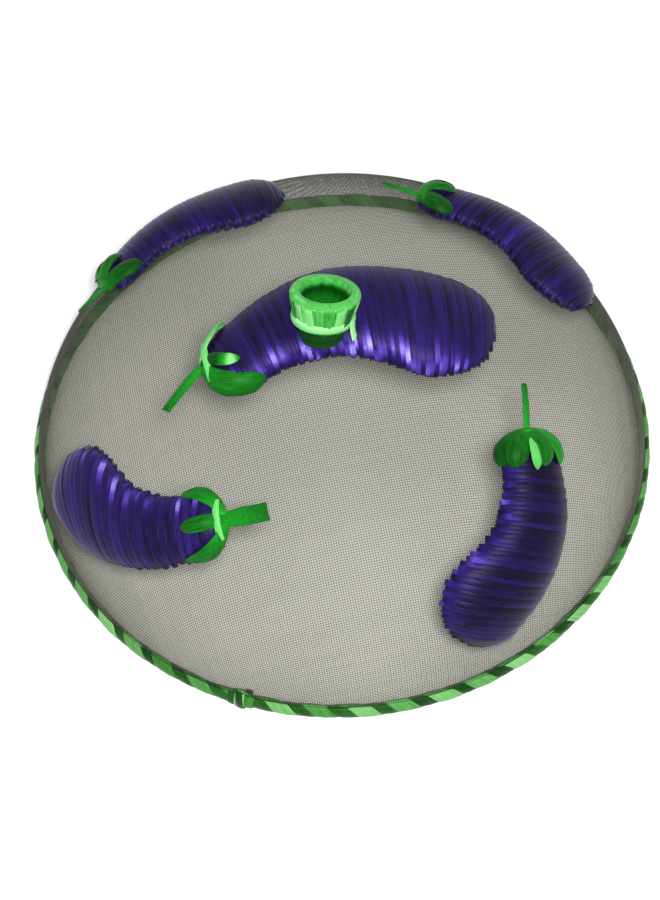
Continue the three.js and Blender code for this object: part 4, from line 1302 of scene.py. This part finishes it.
def grip_run(points, up, half_width, tone):
    """A run of ribbon in the grip's own frame, taken to the cover's."""
    matrix = grip_matrix()
    turn = np.array(matrix.to_3x3()).T
    return {
        "points": points @ turn + np.array(matrix.translation), "up": unit(up) @ turn,
        "half_width": half_width, "tone": tone,
    }


def grip_points(radius, azimuth, up):
    return np.stack([
        radius * np.cos(azimuth), radius * np.sin(azimuth) * GRIP_OVAL_SHARE,
        np.broadcast_to(up, np.shape(azimuth)),
    ], 1)


def wall_radius(up):
    share = up / GRIP_HEIGHT
    return GRIP_BOTTOM_RADIUS + (GRIP_TOP_RADIUS - GRIP_BOTTOM_RADIUS) * share


def loop_run(azimuth, slant, half_width, tone, lift):
    """One loop of ribbon through the ring and round its wall."""
    reach = GRIP_REACH - GRIP_RIBBON_THICKNESS / 2 + lift
    bottom = np.linspace(0, -math.pi, 8)
    rise = np.linspace(0, GRIP_HEIGHT, 7)[1:-1]
    turn = np.concatenate([bottom, np.full(5, -math.pi), bottom - math.pi, np.zeros(6)])
    base = np.concatenate([np.zeros(8), rise, np.full(8, GRIP_HEIGHT), rise[::-1], [0.0]])
    azimuths = azimuth + slant * (np.linspace(0, 1, len(turn)) - 0.5)
    radius = wall_radius(base) + reach * np.cos(turn)
    points = grip_points(radius, azimuths, base + reach * np.sin(turn))
    inner = grip_points(wall_radius(base), azimuths, base)
    # The ribbon is in shade on the inside of the ring, darkest right under the lip
    inside = np.concatenate([np.full(8, 0.2), [0.2, 0.18, 0.14, 0.06, -0.12], np.full(7, 0.55)])
    tones = np.concatenate([inside, np.full(len(turn) - len(inside), tone)])
    return grip_run(points, points - inner, half_width, tones)


def band_run(radius, up, half_width, tone, lean=0.0, flare=0.1):
    """A band of ribbon wrapped level round the grip, its ends lapping."""
    azimuths = np.linspace(-0.35, FULL_TURN - 0.2, 49) + math.radians(LAP_AZIMUTH)
    points = grip_points(radius, azimuths, up + lean * np.cos(azimuths))
    return grip_run(points, grip_points(1.0, azimuths, -flare), half_width, tone)


def tail_run():
    """The loose end of the collar's ribbon."""
    azimuth = np.full(10, math.radians(TAIL_AZIMUTH))
    share = np.linspace(-0.15, 1, 10)
    start = wall_radius(COLLAR_HEIGHT) + GRIP_REACH + COLLAR_THICKNESS + 0.5 * MM
    radius = start + 0.18 * TAIL_LENGTH * np.maximum(share, 0) ** 2
    up = COLLAR_HEIGHT * (1 - share) - 0.5 * TAIL_LENGTH * share
    outward = np.stack([np.cos(azimuth), np.sin(azimuth), 0.4 + 0.8 * share], 1)
    half = TAIL_WIDTH / 2 * np.interp(share, (-0.15, 0.2, 1), (0.8, 1.0, 0.9))
    return grip_run(grip_points(radius, azimuth, up), outward, half, 0.85)


def seat_runs(top):
    """The pad under the ring, bound level round its side and straight across its top."""
    runs = []
    # Each wrap lies lower and further in than the last, and every other one is lighter
    for wrap in range(SEAT_WRAPS):
        up = top - 1.2 * MM - SEAT_WRAP_PITCH * wrap
        radius = SEAT_TOP_RADIUS - 0.2 * MM - SEAT_WRAP_STEP * wrap
        runs.append(band_run(radius, up, 2.0 * MM, 0.15 + 0.1 * (wrap % 2), 0.3 * MM, 0.25))
    for strip in range(-3, 4):
        x = strip * SEAT_STRIP_PITCH
        half = math.sqrt(max(SEAT_TOP_RADIUS ** 2 - x ** 2, 0)) * GRIP_OVAL_SHARE
        y = np.linspace(-half, half, 9)
        points = np.stack([np.full(9, x), y, np.full(9, top - 0.5 * MM)], 1)
        runs.append(grip_run(points, np.tile([0.0, 0.0, 1.0], (9, 1)), 2.1 * MM, 0.3))
    return runs


class FOODCOVER_OT_grip(bpy.types.Operator):
    """Wind the ring grip, its seat, its collar and its loose end"""

    bl_idname = "food_cover.grip"
    bl_label = "Ring grip"

    def execute(self, context):
        sizes = context.scene.food_cover_grip
        tree = ribbon_tree()
        leaf = satin_ribbon("grip_satin", *LEAF, roughness=0.3)
        pale = satin_ribbon("pale_satin", *PALE, roughness=0.3)
        # A darker copy of the green satin for the seat, as painted shade under the ring
        dark = satin_ribbon("dark_satin", *DARK)
        draw = random.Random("grip loops")
        pitch = FULL_TURN / sizes.loops
        loops = [
            loop_run(
                pitch * (loop + draw.uniform(-0.1, 0.1)), pitch * 0.5,
                sizes.ribbon_width / 2 * draw.uniform(0.92, 1.05),
                draw.choice((0.2, 0.4, 0.55, 0.85)) + draw.uniform(-0.05, 0.05),
                (loop % 2) * 0.25 * MM,
            )
            for loop in range(sizes.loops)
        ]
        # Bands over the lip and round the foot: radius, height, half width, tone, lean and flare
        lip = GRIP_HEIGHT + GRIP_REACH
        lip_radius = wall_radius(GRIP_HEIGHT)
        loops += [
            band_run(lip_radius + 0.3 * MM, lip, 2.5 * MM, 0.6, 0.1 * MM, -3.0),
            band_run(lip_radius + 1.5 * MM, lip - 0.5 * MM, 1.7 * MM, 0.75, 0.0, -0.8),
        ]
        reach = GRIP_REACH + TOUCH_GAP
        middle = COLLAR_HEIGHT / 2
        collar_radius = wall_radius(middle) + reach
        collar = [
            band_run(collar_radius + 0.5 * MM, middle, 2.8 * MM, 0.85),
            band_run(collar_radius + 1.0 * MM, middle - 0.6 * MM, 1.7 * MM, 0.6, 0.5 * MM),
        ]
        for name, runs, satin, slot, node in (
            ("grip_loops", loops, leaf, "leaf_ribbon", "grip_winding"),
            ("grip_collar_band", collar, pale, "pale_ribbon", "grip_collar"),
            ("grip_tail_ribbon", [tail_run()], pale, "pale_ribbon", "grip_tail"),
            ("grip_seat_binding", seat_runs(-reach), dark, "dark_ribbon", "grip_seat"),
        ):
            sweep(name, tree, runs, satin, GRIP_SECTION, node)
        repaint("grip_ring", moulded_polypropylene())
        return {"FINISHED"}


# Stage

class FOODCOVER_OT_stage(bpy.types.Operator):
    """Set the floor, the lamps, the room light and the camera"""

    bl_idname = "food_cover.stage"
    bl_label = "Stage"

    def execute(self, context):
        sizes = context.scene.food_cover_stage
        self.floor(sizes)
        self.world(sizes)
        # Lamps: place, width and power. Each is aimed at the rim's centre
        self.lamp("Key lamp", (0.051, -0.58, 0.97), 0.16, sizes.key_power)
        self.lamp("Fill lamp", (0.5, 0.3, 1.6), 1.0, sizes.fill_power)
        self.camera(context, sizes)
        context.scene.view_settings.view_transform = "Standard"
        return {"FINISHED"}

    def floor(self, sizes):
        half = 4.0
        mesh = bpy.data.meshes.new("floor")
        corners = [(-half, -half, 0), (half, -half, 0), (half, half, 0), (-half, half, 0)]
        mesh.from_pydata(corners, [], [(0, 1, 2, 3)])
        mesh.materials.append(matt_card(sizes.floor, sizes.inner_floor, MESH_RADIUS))
        place_object("floor", mesh)

    def world(self, sizes):
        world = bpy.data.worlds.new("Room")
        world.use_nodes = True
        tree = world.node_tree
        tree.nodes.clear()
        # The room is plain white where it is looked at, and lights the rest dimly
        strength = add(tree, "ShaderNodeMapRange", {"Value": looked_at(tree), "To Min": sizes.sky})
        back = add(tree, "ShaderNodeBackground", {"Color": (1, 1, 1, 1), "Strength": strength})
        add(tree, "ShaderNodeOutputWorld", {"Surface": back})
        bpy.context.scene.world = world

    def lamp(self, name, place, width, power):
        data = bpy.data.lights.new(name, "AREA")
        data.size = width
        data.energy = power
        lamp = place_object(name, data)
        lamp.location = place
        lamp.rotation_euler = Vector(place).to_track_quat("Z", "Y").to_euler()

    def camera(self, context, sizes):
        """Looks along +Y and down at the rim's centre, rolled a little as the photograph is."""
        ahead = Vector((0, math.cos(sizes.elevation), -math.sin(sizes.elevation)))
        right = Vector((1, 0, 0))
        up = right.cross(ahead)
        right_rolled = right * math.cos(sizes.roll) - up * math.sin(sizes.roll)
        up_rolled = right * math.sin(sizes.roll) + up * math.cos(sizes.roll)
        turn = Matrix((right_rolled, up_rolled, -ahead)).transposed()
        data = bpy.data.cameras.new("Camera")
        # Focal length and shift in pixels of the picture
        image_height = 900
        focal_pixels = 1833
        shift_right, shift_up = -11, -14
        data.sensor_width = 36
        data.lens = focal_pixels * data.sensor_width / image_height
        data.shift_x = shift_right / image_height
        data.shift_y = shift_up / image_height
        camera = place_object("Camera", data)
        camera.matrix_world = Matrix.Translation(-ahead * sizes.distance) @ turn.to_4x4()
        context.scene.camera = camera


# Each operator's sizes are the scene's property group of the same name
GROUPS = {
    "stage": FoodCoverStage,
    "wire_mesh": FoodCoverMesh,
    "rim": FoodCoverRim,
    "aubergines": FoodCoverAubergines,
    "grip": FoodCoverGrip,
}


class FOODCOVER_PT_panel(bpy.types.Panel):
    """Lists the pieces of the food cover"""

    bl_label = "Food cover"
    bl_idname = "FOODCOVER_PT_panel"
    bl_space_type = "VIEW_3D"
    bl_region_type = "UI"
    bl_category = "Food cover"

    def draw(self, context):
        for name in GROUPS:
            box = self.layout.box()
            settings = getattr(context.scene, f"food_cover_{name}")
            for label in settings.__annotations__:
                box.prop(settings, label)
            box.operator(f"food_cover.{name}")


CLASSES = (
    *GROUPS.values(),
    FOODCOVER_OT_stage,
    FOODCOVER_OT_wire_mesh,
    FOODCOVER_OT_rim,
    FOODCOVER_OT_aubergines,
    FOODCOVER_OT_grip,
    FOODCOVER_PT_panel,
)


def register():
    for group in CLASSES:
        bpy.utils.register_class(group)
    for name, group in GROUPS.items():
        setattr(bpy.types.Scene, f"food_cover_{name}", PointerProperty(type=group))


def unregister():
    for name in GROUPS:
        delattr(bpy.types.Scene, f"food_cover_{name}")
    for group in reversed(CLASSES):
        bpy.utils.unregister_class(group)


def main():
    register()
    bpy.ops.food_cover.stage()
    bpy.ops.food_cover.wire_mesh()
    bpy.ops.food_cover.rim()
    bpy.ops.food_cover.aubergines()
    bpy.ops.food_cover.grip()


if __name__ == "__main__":
    main()
